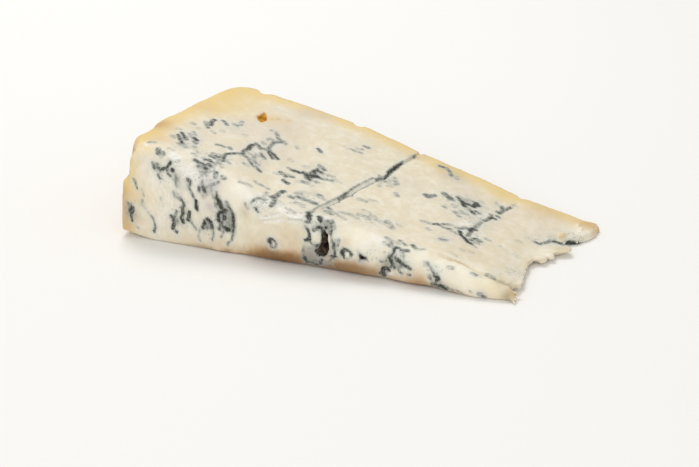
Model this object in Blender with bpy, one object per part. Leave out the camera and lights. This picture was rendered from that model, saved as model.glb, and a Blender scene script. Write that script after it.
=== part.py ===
"""A wedge of blue-veined cheese, cut from half a wheel and lying on one of its two radial cuts.

Blender 4.5, metres, +Z up. While the wedge is being made, x runs from the wheel's outer rind (x = 0)
to the torn tip at the wheel's axis, y runs from the front cut (y = 0), where the wheel was halved,
back to the wheel's flat rind, and z runs up from the board. At the end the origin goes to the middle
of the footprint. The paste is one solid: rind and blue veins are finishes, not pieces.
"""

import math

import bmesh
import bpy
from mathutils import Matrix, Vector, noise

MM = 0.001

# Driving dimensions.
WHEEL_RADIUS = 155 * MM
RIND_HEIGHT = 34.0 * MM  # how thick a straight-sided wedge would be where the outer rind meets the board
TIP_HEIGHT = 0.9 * MM  # the same, at the wheel's axis
LENGTH = 161 * MM  # from the rind's foot to the end of the longest torn tongue
RIM_RADIUS = 9 * MM  # the wheel's rounded rim, between its flat and its outer rind
RIND_BARREL = 9.5 * MM  # the soft wheel bulges at mid-height, so the outer rind draws in by this at its rim
WHEEL_HALF_HEIGHT = 74 * MM  # from the front cut to the wheel's flat
TOP_RIND_RADIUS = 3.5 * MM
BACK_RADIUS = 1.2 * MM
FOOT_RADIUS = 0.8 * MM
THINNEST = 2.6 * MM  # the torn sheet at the tip is never thinner than this
CHIP_HEIGHT = 21.5 * MM  # the rind is chipped above this, next to the front cut
CHIP_DEPTH = 1.8 * MM
UNEVEN = 0.35 * MM  # how far the soft paste wanders off its cut
UNEVEN_LENGTH = 14 * MM

# How finely the block is sliced before it is shaped.
SLICES_ALONG = 48
SLICES_FRONT = 7
SLICES_BACK = 25
FRONT_SHARE = 0.13  # share of the width that the finer front slices cover
SLICES_UP = 8

# Outlines, as (where, value) pairs in millimetres, joined by smooth curves.
FRONT_FOOT = [(0, 0), (30, -0.3), (45, -1), (58, -3.1), (130, -3.5), (146, -1)]
BACK_WALL = [(0, 74), (82, 74), (90, 71.8), (125, 67), (162, 64)]
FRONT_CROWN = [
    (0, 1.5), (15, 2.8), (37, 2.8), (54, -1), (66, -0.7), (82, 0.3), (104, 0), (118, 1.4), (133, 0),
]
BACK_CROWN = [(0, 1.5), (15, 3.7), (25, 3.3), (66, 3.1), (77, 2), (88, 1), (110, 1), (128, 0)]
FRONT_EDGE = [
    (0, 9), (34, 9), (54, 3.5), (74, 3), (84, 8), (97, 7.5), (104, 6), (116, 9), (134, 4), (146, 1.5),
]
TORN_TIP = [
    (-3.4, 144), (-1.4, 146), (1.5, 142), (7, 144), (17, 144.6), (26, 143), (33, 150), (41, 154.3),
    (45, 152.6), (51, 158.5), (58, 161), (64, 158.5),
]

# Needle channels across the upper cut, as points on it in millimetres.
LONG_CHANNEL = [(88.5, 76), (83.5, 42), (71, -2)]
SHORT_CHANNEL = [(129, 58), (120.5, 24)]

# The crack between the torn sheet and the tail in front of it, as (x, y, z) in millimetres.
TAIL_CRACK = [(118, 0.3, 9.3), (133, 0.4, 6.4), (150, 1.4, 2.4)]
NEEDLE_RADIUS = 0.9 * MM
CRACK_RADIUS = 0.7 * MM
CUTTER_SIDES = 10


def smooth(t):
    """0 below 0, 1 above 1, and an S-curve between."""
    t = min(max(t, 0.0), 1.0)
    return t * t * (3 - 2 * t)


def slope_at(outline, k):
    """The outline's slope at its point k, flat at every peak and hollow, so that no curve overshoots."""
    near = outline[max(k - 1, 0):k + 2]
    steps = [(second - first) / (b - a) for (a, first), (b, second) in zip(near, near[1:])]
    if len(steps) < 2:
        return steps[0]
    before, after = steps
    return 2 * before * after / (before + after) if before * after > 0 else 0.0


def along(outline, where):
    """The outline's value at this place, both in metres."""
    place = min(max(where / MM, outline[0][0]), outline[-1][0])
    k = 0
    while k < len(outline) - 2 and place > outline[k + 1][0]:
        k += 1
    (a, first), (b, second) = outline[k], outline[k + 1]
    t = (place - a) / (b - a)
    bend = slope_at(outline, k) * t * (1 - t) ** 2 - slope_at(outline, k + 1) * t * t * (1 - t)
    return (first + (second - first) * smooth(t) + bend * (b - a)) * MM


def top_height(x, y):
    """The upper radial cut: a ramp from the rind down to the tip, crowned where the paste is thick."""
    ramp = RIND_HEIGHT + (TIP_HEIGHT - RIND_HEIGHT) * x / LENGTH
    back_share = smooth((y - 4 * MM) / (50 * MM))
    crown = along(FRONT_CROWN, x) * (1 - back_share) + along(BACK_CROWN, x) * back_share
    return max(ramp + crown, THINNEST)


def rind_x(y, z):
    """The outer rind follows the wheel's circle upwards and its barrel shape to the back; it has one chip."""
    circle = WHEEL_RADIUS - math.sqrt(WHEEL_RADIUS**2 - z**2)
    barrel = RIND_BARREL * (y / WHEEL_HALF_HEIGHT) ** 2
    chip = CHIP_DEPTH * smooth((z - CHIP_HEIGHT) / (2 * MM)) * (1 - smooth(y / (8 * MM)))
    return circle + barrel + chip


def round_corner(a, b, corner_a, corner_b, inward_a, inward_b, radius):
    """Draws the square corner at (corner_a, corner_b) in to a quarter circle of this radius."""
    centre_a = corner_a + inward_a * radius
    centre_b = corner_b + inward_b * radius
    off_a = (centre_a - a) * inward_a
    off_b = (centre_b - b) * inward_b
    if radius <= 0 or off_a <= 0 or off_b <= 0:
        return a, b
    pull = max(off_a, off_b) / math.hypot(off_a, off_b)
    return centre_a - inward_a * off_a * pull, centre_b - inward_b * off_b * pull


def shaped(u, v, w):
    """Where a point of the unit block goes: u from rind to tip, v from front to back, w upwards."""
    x, z = u * WHEEL_RADIUS, w * RIND_HEIGHT * (1 - u)
    for _ in range(3):
        front, back = along(FRONT_FOOT, x), along(BACK_WALL, x)
        y = front + (back - front) * v
        rind, tip = rind_x(y, z), along(TORN_TIP, y)
        x = rind + (tip - rind) * u
        top = top_height(x, y)
        z = top * w
    foot = min(FOOT_RADIUS, 0.2 * top)

    y, z = round_corner(y, z, front, top, 1, -1, min(along(FRONT_EDGE, x), 0.85 * top))
    y, z = round_corner(y, z, back, top, -1, -1, BACK_RADIUS)
    y, z = round_corner(y, z, front, 0, 1, 1, foot)
    y, z = round_corner(y, z, back, 0, -1, 1, foot)
    x, z = round_corner(x, z, rind, top_height(rind, y), 1, -1, TOP_RIND_RADIUS)
    x, z = round_corner(x, z, tip, top, -1, -1, 0.4 * top)
    x, z = round_corner(x, z, tip, 0, -1, 1, foot)
    x, y = round_corner(x, y, rind, back, 1, -1, RIM_RADIUS)
    wander = UNEVEN * noise.noise(Vector((x, y, z)) / UNEVEN_LENGTH)
    return Vector((x, y - wander * (1 - v) * w, z + wander * w))


def slices():
    """Where the unit block is cut, along each axis."""
    up = [k / SLICES_UP for k in range(1, SLICES_UP)]
    lengthways = [k / SLICES_ALONG for k in range(1, SLICES_ALONG)]
    front = [FRONT_SHARE * k / SLICES_FRONT for k in range(1, SLICES_FRONT + 1)]
    rest = [FRONT_SHARE + (1 - FRONT_SHARE) * k / SLICES_BACK for k in range(1, SLICES_BACK)]
    return lengthways, front + rest, up


def make_wedge(collection, material):
    """The block is sliced by planes, and each of its corners is moved to its place on the wedge."""
    mesh = bpy.data.meshes.new("wedge")
    bm = bmesh.new()
    bmesh.ops.create_cube(bm, size=1.0, matrix=Matrix.Translation((0.5, 0.5, 0.5)))
    for axis, cuts in enumerate(slices()):
        normal = [0.0, 0.0, 0.0]
        normal[axis] = 1.0
        for cut in cuts:
            everything = bm.verts[:] + bm.edges[:] + bm.faces[:]
            place = [cut * n for n in normal]
            bmesh.ops.bisect_plane(bm, geom=everything, plane_co=place, plane_no=normal)
    for vert in bm.verts:
        vert.co = shaped(*vert.co)
    bmesh.ops.recalc_face_normals(bm, faces=bm.faces[:])
    bm.to_mesh(mesh)
    bm.free()
    wedge = bpy.data.objects.new("wedge", mesh)
    mesh.materials.append(material)
    collection.objects.link(wedge)
    return wedge


def on_cut(x, y, rise=0.0):
    """A point on the upper cut, or this far above it. Everything here is in millimetres."""
    return x, y, top_height(x * MM, y * MM) / MM + rise


def make_rod(name, start, end, radius, collection):
    """A straight rod between two points in millimetres, used as a cutter."""
    start, end = Vector(start) * MM, Vector(end) * MM
    span = end - start
    bm = bmesh.new()
    turned = span.to_track_quat("Z", "Y").to_matrix().to_4x4()
    place = Matrix.Translation((start + end) / 2)
    bmesh.ops.create_cone(
        bm, cap_ends=True, segments=CUTTER_SIDES, radius1=radius, radius2=radius,
        depth=span.length + 0.8 * radius, matrix=place @ turned,
    )
    return finish_cutter(name, bm, collection)


def make_egg(name, centre, radii, collection):
    """A stretched ball, used as a cutter. Its centre and radii are in millimetres."""
    bm = bmesh.new()
    stretch = Matrix.Diagonal([r * MM for r in radii]).to_4x4()
    place = Matrix.Translation([c * MM for c in centre])
    bmesh.ops.create_uvsphere(bm, u_segments=10, v_segments=6, radius=1.0, matrix=place @ stretch)
    return finish_cutter(name, bm, collection)


def finish_cutter(name, bm, collection):
    mesh = bpy.data.meshes.new(name)
    bm.to_mesh(mesh)
    bm.free()
    cutter = bpy.data.objects.new(name, mesh)
    cutter.hide_render = True
    cutter.display_type = "WIRE"
    collection.objects.link(cutter)
    return cutter


def make_groove(name, path, radius, collection):
    """Rods end to end, each a little longer than its stretch so that they overlap."""
    return [
        make_rod(f"{name}_{k}", start, end, radius, collection)
        for k, (start, end) in enumerate(zip(path, path[1:]))
    ]


def make_cutters(collection):
    """Every hollow in the paste: where needles went in, where mould opened a cavity, where it cracked."""
    long_channel = [on_cut(x, y) for x, y in LONG_CHANNEL]
    short_channel = [on_cut(x, y) for x, y in SHORT_CHANNEL]
    cutters = make_groove("long_needle_channel", long_channel, NEEDLE_RADIUS, collection)
    cutters += make_groove("short_needle_channel", short_channel, 0.8 * NEEDLE_RADIUS, collection)
    cutters += make_groove("tail_crack", TAIL_CRACK, CRACK_RADIUS, collection)
    cutters += [
        make_egg("front_slot", (79.4, -3.6, 11.6), (2.0, 5.0, 5.8), collection),
        make_egg("front_cleft", (101.0, -3.6, 5.8), (1.8, 3.2, 3.2), collection),
        make_egg("crescent_cavity", (42.3, -1.2, 14.5), (2.2, 2.8, 5.0), collection),
        make_egg("whey_pit", (33.0, 52.5, 30.5), (1.5, 1.8, 2.4), collection),
    ]
    for x, z, radius in ((59.8, 8.2, 1.3), (87.0, 8.6, 1.5), (92.7, 8.1, 1.2)):
        name = f"needle_hole_{round(x)}"
        cutters.append(make_rod(name, (x, -6, z), (x, -0.4, z), radius * MM, collection))
    for x, radius in ((22.0, 1.4), (66.0, 1.1), (129.5, 1.2)):
        rim_y = along(BACK_WALL, x * MM) / MM + 0.5
        name = f"rim_notch_{round(x)}"
        start, end = on_cut(x, rim_y, -3), on_cut(x, rim_y, 3)
        cutters.append(make_rod(name, start, end, radius * MM, collection))
    return cutters


def cut(wedge, cutters):
    for cutter in cutters:
        modifier = wedge.modifiers.new(cutter.name, "BOOLEAN")
        modifier.operation = "DIFFERENCE"
        modifier.solver = "EXACT"
        modifier.object = cutter


def centre_on_footprint(wedge, cutters):
    """Puts the origin under the middle of the wedge, on the board."""
    xs = [vert.co.x for vert in wedge.data.vertices]
    ys = [vert.co.y for vert in wedge.data.vertices]
    middle = Vector(((min(xs) + max(xs)) / 2, (min(ys) + max(ys)) / 2, 0))
    for obj in [wedge, *cutters]:
        obj.data.transform(Matrix.Translation(-middle))


def make_paste_material():
    material = bpy.data.materials.new("blue_cheese_paste")
    material.use_nodes = True
    shader = material.node_tree.nodes["Principled BSDF"]
    shader.inputs["Base Color"].default_value = (0.76, 0.69, 0.53, 1)
    shader.inputs["Roughness"].default_value = 0.45
    shader.inputs["Metallic"].default_value = 0.0
    return material


def main():
    for obj in list(bpy.data.objects):
        bpy.data.objects.remove(obj)
    cheese = bpy.data.collections.new("gorgonzola_wedge")
    tools = bpy.data.collections.new("cutters")
    for collection in (cheese, tools):
        bpy.context.scene.collection.children.link(collection)
    wedge = make_wedge(cheese, make_paste_material())
    cutters = make_cutters(tools)
    cut(wedge, cutters)
    centre_on_footprint(wedge, cutters)


main()
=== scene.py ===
# %% [markdown]
# # A wedge of gorgonzola, veined with blue mould
# The wedge was cut from half a wheel and lies on one of its two radial cuts. Its thick end is the
# wheel's outer rind, its far long side is the wheel's flat, and its thin end is the torn middle of
# the wheel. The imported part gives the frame: its box says where every millimetre below belongs.

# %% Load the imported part
import math

import bpy
import numpy as np
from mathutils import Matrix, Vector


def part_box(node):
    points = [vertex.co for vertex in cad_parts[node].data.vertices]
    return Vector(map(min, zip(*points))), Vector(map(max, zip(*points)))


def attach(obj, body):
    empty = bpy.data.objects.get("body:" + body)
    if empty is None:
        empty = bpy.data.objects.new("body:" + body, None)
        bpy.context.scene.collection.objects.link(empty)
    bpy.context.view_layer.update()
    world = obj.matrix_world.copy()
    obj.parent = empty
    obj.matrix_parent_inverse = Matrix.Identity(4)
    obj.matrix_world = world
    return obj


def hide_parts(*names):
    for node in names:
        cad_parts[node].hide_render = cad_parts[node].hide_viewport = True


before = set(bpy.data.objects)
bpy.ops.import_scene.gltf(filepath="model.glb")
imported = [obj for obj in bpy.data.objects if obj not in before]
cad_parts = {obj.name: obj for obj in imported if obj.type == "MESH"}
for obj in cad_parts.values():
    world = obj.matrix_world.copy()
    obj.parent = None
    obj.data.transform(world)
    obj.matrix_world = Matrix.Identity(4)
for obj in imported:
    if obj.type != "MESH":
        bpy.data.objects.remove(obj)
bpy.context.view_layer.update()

import openvdb
from mathutils import Vector
from mathutils.geometry import delaunay_2d_cdt

# %% [markdown]
# ## One frame for the whole wedge
# Everything is measured in millimetres from one corner: x runs from the outer rind to the torn tip,
# y from the front cut back to the wheel's flat, and z up from the board. Only the finished mesh is
# moved into the part's own frame and scaled to metres, so the numbers below can be read off a ruler.

# %% The ruler's corner
MM = 0.001
WHEEL_RADIUS = 155
HALF_WHEEL = 74  # from the front cut to the wheel's flat
LENGTH = 161

low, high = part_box("wedge")
RULER = np.array((low.x / MM, high.y / MM - HALF_WHEEL, 0.0))


def to_part(points):
    """Points on the ruler, in millimetres, as metres in the part's frame."""
    return (np.asarray(points, float) + RULER) * MM


print("the ruler starts at", np.round(RULER, 2), "mm; the part is", np.round((high - low) / MM, 1))

# %% [markdown]
# ## The camera
# It looks down at the front cut from the right, from about arm's length, through a long lens, so
# that the wedge keeps its proportions. The camera comes first because the mould strokes further
# down are pressed on to the surface along its line of sight.

# %% Place the camera
CAMERA_PLACE = np.array((263.0, -472.8, 250.0))
CAMERA_AIM = np.array((75.9, 29.7, 0.0))

lens = bpy.data.cameras.new("camera")
lens.lens, lens.sensor_width = 84.9, 36.0
lens.clip_start, lens.clip_end = 0.01, 20
camera = bpy.data.objects.new("camera", lens)
bpy.context.scene.collection.objects.link(camera)
camera.location = to_part(CAMERA_PLACE)
sight = Vector(CAMERA_AIM - CAMERA_PLACE)
camera.rotation_euler = sight.to_track_quat("-Z", "Y").to_euler()
bpy.context.scene.camera = camera
print("camera", round(sight.length), "mm away")

# %% [markdown]
# ## Outlines of the cuts
# A hand cut cheese has no straight edge. Each outline is a few (where, how far) pairs in
# millimetres, and `along` joins them by a curve that never overshoots a point, so that a bump stays
# as high as it was drawn. The crowns are how far the upper cut stands above a straight ramp.

# %% Outlines, in millimetres
RIND_HEIGHT, TIP_HEIGHT, THINNEST = 34.0, 0.9, 2.6
FRONT_FOOT = [(0, 0), (30, -0.3), (45, -1), (58, -3.1), (130, -3.5), (146, -1)]
BACK_WALL = [(0, 74), (82, 74), (90, 72.2), (104, 70.6), (116, 68.8), (127, 67), (162, 64)]
FRONT_CROWN = [
    (0, 1.5), (15, 2.8), (37, 2.8), (54, -1), (66, -0.7), (82, 0.3), (104, 0), (118, 1.4), (133, 0),
]
BACK_CROWN = [
    (0, 1.5), (15, 3.6), (25, 3.3), (45, 3.6), (66, 3.2), (77, 2), (88, 1), (110, 1), (128, 0),
]
FRONT_EDGE = [
    (0, 7), (14, 8), (34, 9), (54, 3.5), (74, 3), (84, 8), (97, 7.5), (104, 6), (116, 9), (134, 4),
    (146, 1.5),
]
# Where the torn lip stands, 2.5 mm above the board. Another program worked most of these places out.
TORN_TIP = [
    (-3.4, 144), (-1.4, 146), (1.5, 142), (3.8, 142.4), (4.8, 144.2), (6.4, 145.3), (8.4, 145.7),
    (10.6, 145.5), (14.4, 144.8), (17.7, 144.3), (20.9, 144.1), (24.6, 143.7), (26.7, 144.7),
    (28, 146.4), (29.2, 148.5), (30.9, 149.4), (32, 150.4), (34.6, 150.7), (35.9, 151.4), (36.6, 153.4),
    (37.4, 155), (39.5, 155.7), (41.5, 154.9), (42.4, 152.4), (43.4, 150.8), (47, 151.2), (48.2, 152.8),
    (49.2, 154.3), (50.8, 155.3), (52.4, 156.6), (54.7, 157.8), (57, 158.5), (62, 158.6), (64, 157.8),
]
# How far the tear leans in under its lip for each millimetre down; below 0 it slopes out
TEAR_LEAN = [
    (-2, 0.3), (3, 0.5), (8, 1.4), (22, 1.4), (26, 2.2), (40, 2.2), (44, 0.4), (47, 0), (50, -0.4),
    (64, -0.4),
]


def smooth(t):
    """0 below 0, 1 above 1, and an S-curve between."""
    t = np.clip(t, 0.0, 1.0)
    return t * t * (3 - 2 * t)


def along(outline, where):
    """The outline's value at these places: a smooth curve through its points, flat at each peak."""
    place, value = np.array(outline, float).T
    step = np.diff(value) / np.diff(place)
    before, after = step[:-1], step[1:]
    same_way = before * after > 0
    middle = 2 * before * after / np.where(same_way, before + after, 1) * same_way
    slope = np.concatenate([step[:1], middle, step[-1:]])
    where = np.clip(where, place[0], place[-1])
    k = np.clip(np.searchsorted(place, where, side="right") - 1, 0, len(step) - 1)
    width = place[k + 1] - place[k]
    t = (where - place[k]) / width
    bend = slope[k] * t * (1 - t) ** 2 - slope[k + 1] * t * t * (1 - t)
    return value[k] + (value[k + 1] - value[k]) * smooth(t) + bend * width


def top_height(x, y):
    """The upper cut: a ramp from the rind down to the tip, crowned where the paste is thick."""
    ramp = RIND_HEIGHT + (TIP_HEIGHT - RIND_HEIGHT) * x / LENGTH
    share = smooth((y - 4) / 50)
    crown = along(FRONT_CROWN, x) * (1 - share) + along(BACK_CROWN, x) * share
    droop = 1.8 * smooth((x - 132) / 12) * smooth((y - 3) / 4) * smooth((48 - y) / 6)  # at the tear
    return np.maximum(ramp + crown - droop, THINNEST)


print("upper cut at the rind and the tip:", top_height(10, 40), top_height(150, 50))

# %% [markdown]
# ## The paste as a field of distances
# Soft cheese has edges that are rounded differently at every place, pillows that swell out of the
# cut, and cavities with thin lips. Modelled face by face that is slow to shape. Instead the block is
# a grid of points, each holding its distance to the surface: below 0 inside the paste, above 0
# outside. Two cuts meet by taking the larger distance, and a cavity is cut out the same way, with
# whatever rounding the place needs. At the end one surface is drawn where the distance is 0.

# %% The grid
CELL = 0.55  # fine enough for a needle hole, coarse enough to keep the mesh light
MARGIN = 4 * CELL
GRID_LOW = np.array((0.0, -4.2, 0.0)) - MARGIN
GRID_HIGH = np.array((LENGTH, HALF_WHEEL + 0.3, 36.0)) + MARGIN
COUNTS = np.ceil((GRID_HIGH - GRID_LOW) / CELL).astype(int)
AXES = [(GRID_LOW[i] + CELL * np.arange(COUNTS[i])).astype(np.float32) for i in range(3)]
X, Y, Z = AXES[0][:, None, None], AXES[1][None, :, None], AXES[2][None, None, :]
print("grid", COUNTS, "=", round(COUNTS.prod() / 1e6, 1), "million points")

# %% Smooth random values, used for everything uneven
CHANCE = np.random.default_rng(7).uniform(-1, 1, (64, 64, 64)).astype(np.float32)


def cloud(x, y, z, length, shift=0):
    """Random values from -1 to 1 that change smoothly over about this many millimetres."""
    cells = []
    for k, place in enumerate((x, y, z)):
        place = place / length + 17.3 * (k + 1) + 5.7 * shift
        first = np.floor(place).astype(np.int32)
        cells.append((first % 64, (first + 1) % 64, smooth(place - first)))
    (x0, x1, a), (y0, y1, b), (z0, z1, c) = cells
    low_y = (CHANCE[x0, y0, z0] * (1 - a) + CHANCE[x1, y0, z0] * a) * (1 - b)
    low_y = low_y + (CHANCE[x0, y1, z0] * (1 - a) + CHANCE[x1, y1, z0] * a) * b
    high_y = (CHANCE[x0, y0, z1] * (1 - a) + CHANCE[x1, y0, z1] * a) * (1 - b)
    high_y = high_y + (CHANCE[x0, y1, z1] * (1 - a) + CHANCE[x1, y1, z1] * a) * b
    return low_y * (1 - c) + high_y * c


# %% [markdown]
# ### The walls
# The front cut leans in at its foot where the soft paste has sunk and rolled over, most between the
# middle and the tail. Three pillows of paste stand out of it, with hollows between them. The outer
# rind follows the wheel's circle and its barrel shape, and is chipped next to the front cut.

# %% Front wall, rind and torn tip
TUCK = [(40, 0), (56, 2.2), (70, 2.4), (97, 2.6), (104, 1.6), (113, 1.9), (121, 0.9), (136, 0)]
TUCK_HEIGHT = [(40, 4), (56, 5.2), (75, 5.6), (98, 5.4), (106, 4), (118, 4), (136, 2)]
# Dips in the front wall, as (x, z, half width, half height, depth)
FRONT_DIPS = [
    (74.5, 12, 7.5, 12, 0.9), (102.0, 8, 4.5, 9, 1.2), (117.6, 5, 2.8, 7, 0.8), (62, 12, 9, 7, 0.5),
    (24, 12, 9, 8, 0.35), (46.5, 14, 4, 9, 0.5),
]


def front_wall(x, z):
    """Where the front cut stands at this place and height."""
    height = along(TUCK_HEIGHT, x)
    tuck = along(TUCK, x) * np.clip(1 - z / height, 0, 1) ** 1.6
    wall = along(FRONT_FOOT, x) + tuck
    for dip_x, dip_z, wide, tall, deep in FRONT_DIPS:
        wall = wall + deep * np.exp(-((x - dip_x) / wide) ** 2 - ((z - dip_z) / tall) ** 2)
    return wall


RIND_BARREL = 9.5  # the soft wheel bulges at mid-height, so its rind draws in by this at the rim
# Knocks along the rind's upper edge, as (y, how far it stands out)
RIND_KNOCKS = [
    (-4, 0), (1, 0), (4, 0.2), (8, 1.0), (12, 2.2), (16, 1.3), (20, 1.2), (25, 2.3), (30, 2.6), (36, 1.6),
    (44, 1.3), (52, 0.9), (60, 0.2), (74, 0),
]


def rind_place(y, z):
    """Where the outer rind stands: the wheel's circle and barrel, one chip, and its knocks."""
    circle = WHEEL_RADIUS - np.sqrt(WHEEL_RADIUS**2 - z**2)
    barrel = RIND_BARREL * (y / HALF_WHEEL) ** 2
    near_cut = 1 - smooth(y / 9)
    chip = (0.3 * smooth(z / 6) + 1.9 * smooth((z - 21.3) / 1.8) - 0.4 * smooth((z - 26) / 4)) * near_cut
    chip = chip + 1.2 * smooth((z - 29) / 6) * near_cut  # the corner above it is worn round
    knocks = along(RIND_KNOCKS, y) * smooth((z - 10) / 18)
    return np.maximum(circle + barrel + chip - knocks, 0)


def steepness(values, first, second):
    """How much a wall's distance has to shrink because the wall isn't square to its axis."""
    slopes = np.gradient(values, CELL, axis=(first, second))
    return 1 / np.sqrt(1 + slopes[0] ** 2 + slopes[1] ** 2)


top_sheet = top_height(X, Y).astype(np.float32)
front_sheet = front_wall(X, Z).astype(np.float32)
rind_sheet = rind_place(Y, Z).astype(np.float32)
torn = along(TORN_TIP, Y) + 0.5 * cloud(0, Y, Z, 2.9) + 0.55 * cloud(0, Y, Z, 1.25, 1)
torn = torn - along(TEAR_LEAN, Y) * (2.5 - np.clip(Z, 0, 4))
torn_sheet = np.minimum(torn, LENGTH).astype(np.float32)

uneven = 0.35 * cloud(X, Y, Z, 14) + 0.14 * cloud(X, Y, Z, 4.2, 1) + 0.05 * cloud(X, Y, Z, 1.6, 2)
uneven = uneven * smooth(Z / 4)
to_top = (Z - top_sheet) * steepness(top_sheet[..., 0], 0, 1)[..., None] + uneven
to_front = (front_sheet - Y) * steepness(front_sheet[:, 0], 0, 1)[:, None] + 0.7 * uneven
to_back = Y - along(BACK_WALL, X).astype(np.float32) + 0.4 * uneven
to_rind = (rind_sheet - X) * steepness(rind_sheet[0], 0, 1)[None] + 0.4 * uneven
to_tip = X - torn_sheet
print("fields made")

# %% [markdown]
# ### Joining the cuts
# A wire leaves a crisp edge on firm paste and a soft roll on ripe paste, so the front edge's radius
# changes along the wedge. `meet` rounds the corner between two fields to a quarter circle.

# %% Join the walls


def meet(a, b, radius):
    """Keeps what is inside both fields, with their corner rounded to this radius."""
    corner = np.hypot(np.maximum(a + radius, 0), np.maximum(b + radius, 0))
    return np.minimum(np.maximum(a, b), -radius) + corner


edge_radius = np.minimum(along(FRONT_EDGE, X), 0.85 * top_height(X, 0 * X)).astype(np.float32)
cut_field = meet(to_top, to_front, edge_radius)
skin_field = meet(to_rind, to_back, 9.0)
lip = 0.8 + 2.7 * smooth((Y - 1) / 9) * smooth((18 - X) / 8)
paste = meet(cut_field, skin_field, lip.astype(np.float32))
paste = meet(paste, to_tip, np.minimum(0.3 * top_sheet, 0.6))
foot = 0.8 + 1.0 * smooth((X - 44) / 12) * smooth((132 - X) / 10) * smooth((6 - Y) / 4)
LIFT = [(0, 2.1), (2.5, 1.8), (5, 1.2), (8, 0.6), (12, 0)]  # the rind's foot has curled off the board
lift = along(LIFT, X - rind_sheet[..., :1]) * (0.6 + 0.4 * smooth((12 - Y) / 8))
paste = meet(paste, lift - Z, foot.astype(np.float32)).astype(np.float32)
print("block joined, volume", round((paste < 0).sum() * CELL**3 / 1000, 1), "cubic cm")

# %% [markdown]
# ### The tail
# Along the front the tear left one strand of paste, round as a finger, lying against the torn sheet
# with a crack between them. The strand is a chain of balls joined to the block, and the crack is a
# thin groove cut after it, so that the strand's back stays visible as its own edge.

# %% Shapes along a path


def block(low_corner, high_corner):
    """The grid's slices that hold this box, and its three coordinate arrays."""
    first = np.clip(np.floor((np.array(low_corner) - GRID_LOW) / CELL), 0, COUNTS - 2).astype(int)
    last = np.clip(np.ceil((np.array(high_corner) - GRID_LOW) / CELL), first + 2, COUNTS)
    cells = tuple(slice(a, int(b)) for a, b in zip(first, last))
    return cells, X[cells[0]], Y[:, cells[1]], Z[:, :, cells[2]]


def chain(path, x, y, z):
    """The distance to a thick line: its points are (x, y, z, radius)."""
    nearest = np.full(np.broadcast_shapes(x.shape, y.shape, z.shape), 1e3, np.float32)
    for start, end in zip(path, path[1:]):
        start, end = np.array(start, float), np.array(end, float)
        step = end[:3] - start[:3]
        t = (x - start[0]) * step[0] + (y - start[1]) * step[1] + (z - start[2]) * step[2]
        t = np.clip(t / (step @ step), 0, 1)
        off = [a - start[i] - t * step[i] for i, a in enumerate((x, y, z))]
        away = np.sqrt(off[0] ** 2 + off[1] ** 2 + off[2] ** 2)
        nearest = np.minimum(nearest, away - start[3] - t * (end[3] - start[3]))
    return nearest


def egg(centre, radii, x, y, z):
    """The distance to a stretched ball, near its surface."""
    scaled = [(a - c) / r for a, c, r in zip((x, y, z), centre, radii)]
    size = np.sqrt(sum(s * s for s in scaled))
    slope = np.sqrt(sum((s / r) ** 2 for s, r in zip(scaled, radii)))
    return size * (size - 1) / np.maximum(slope, 1e-4)


def reach_of(points, radius):
    """The low and high corner of a box round these points."""
    points = np.array(points, float)[:, :3]
    return points.min(0) - radius, points.max(0) + radius


def hollow(field, shape, points, reach, lip):
    """Cuts a shape out of the paste, leaving a lip of this roundness."""
    cells, x, y, z = block(*reach_of(points, reach))
    field[cells] = meet(field[cells], -shape(x, y, z), lip)


def swell(field, shape, points, reach, blend):
    """Adds a shape to the paste and fills the corner between them."""
    cells, x, y, z = block(*reach_of(points, reach))
    field[cells] = -meet(-field[cells], -shape(x, y, z), blend)


def carve(path, lip=0.25):
    hollow(paste, lambda x, y, z: chain(path, x, y, z), path, 5, lip)


def scoop(centre, radii, lip=0.4):
    shape = lambda x, y, z: egg(centre, radii, x, y, z)
    hollow(paste, shape, [centre], max(radii) + 2, lip)


# %% The tail strand and its crack
TAIL = [
    (112, 0.6, 7.4, 3.0), (122, 0.2, 5.6, 3.2), (130, 0.0, 4.4, 2.7), (138, -0.6, 3.1, 2.0),
    (143, -0.9, 2.1, 1.3), (145.6, -1.3, 1.2, 0.7),
]
swell(paste, lambda x, y, z: chain(TAIL, x, y, z), TAIL, 5, 0.8)
carve([
    (116, 2.6, 11.4, 0.3), (122, 3.0, 9.2, 0.7), (130, 2.7, 7.0, 0.8), (138, 1.9, 4.9, 0.9),
    (144, 1.2, 3.2, 1.1), (149, 0.9, 2.2, 1.2),
], lip=0.6)
FRAYS = [
    [(142.8, -0.2, 2.0, 0.9), (145.2, 1.1, 1.7, 0.65), (146.6, 1.6, 1.5, 0.4)],
    [(144.2, -1.6, 1.1, 0.6), (146.2, -3.4, 0.6, 0.35)],
]
for fray in FRAYS:
    swell(paste, lambda x, y, z: chain(fray, x, y, z), fray, 3, 0.3)
print("tail added")

# %% [markdown]
# ### Needle channels and mould cavities
# The cheesemaker pierces a young wheel with long needles, so that air feeds the mould. Where the
# wire cut along a needle's way it left a half-pipe in the upper cut, and where it cut across one, a
# round hole. Mould also eats cavities open: a slot and a cleft in the front wall, and a hollow
# behind a crescent of mould near the rind. One pit held a drop of whey.

# %% Carve them
whole_block = paste.copy()  # kept to know how deep a carved place lies


def on_top(points, drop=0.0):
    """(x, y, radius) points on the upper cut, sunk by this much."""
    return [(x, y, float(top_height(x, y)) - drop, r) for x, y, r in points]


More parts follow.
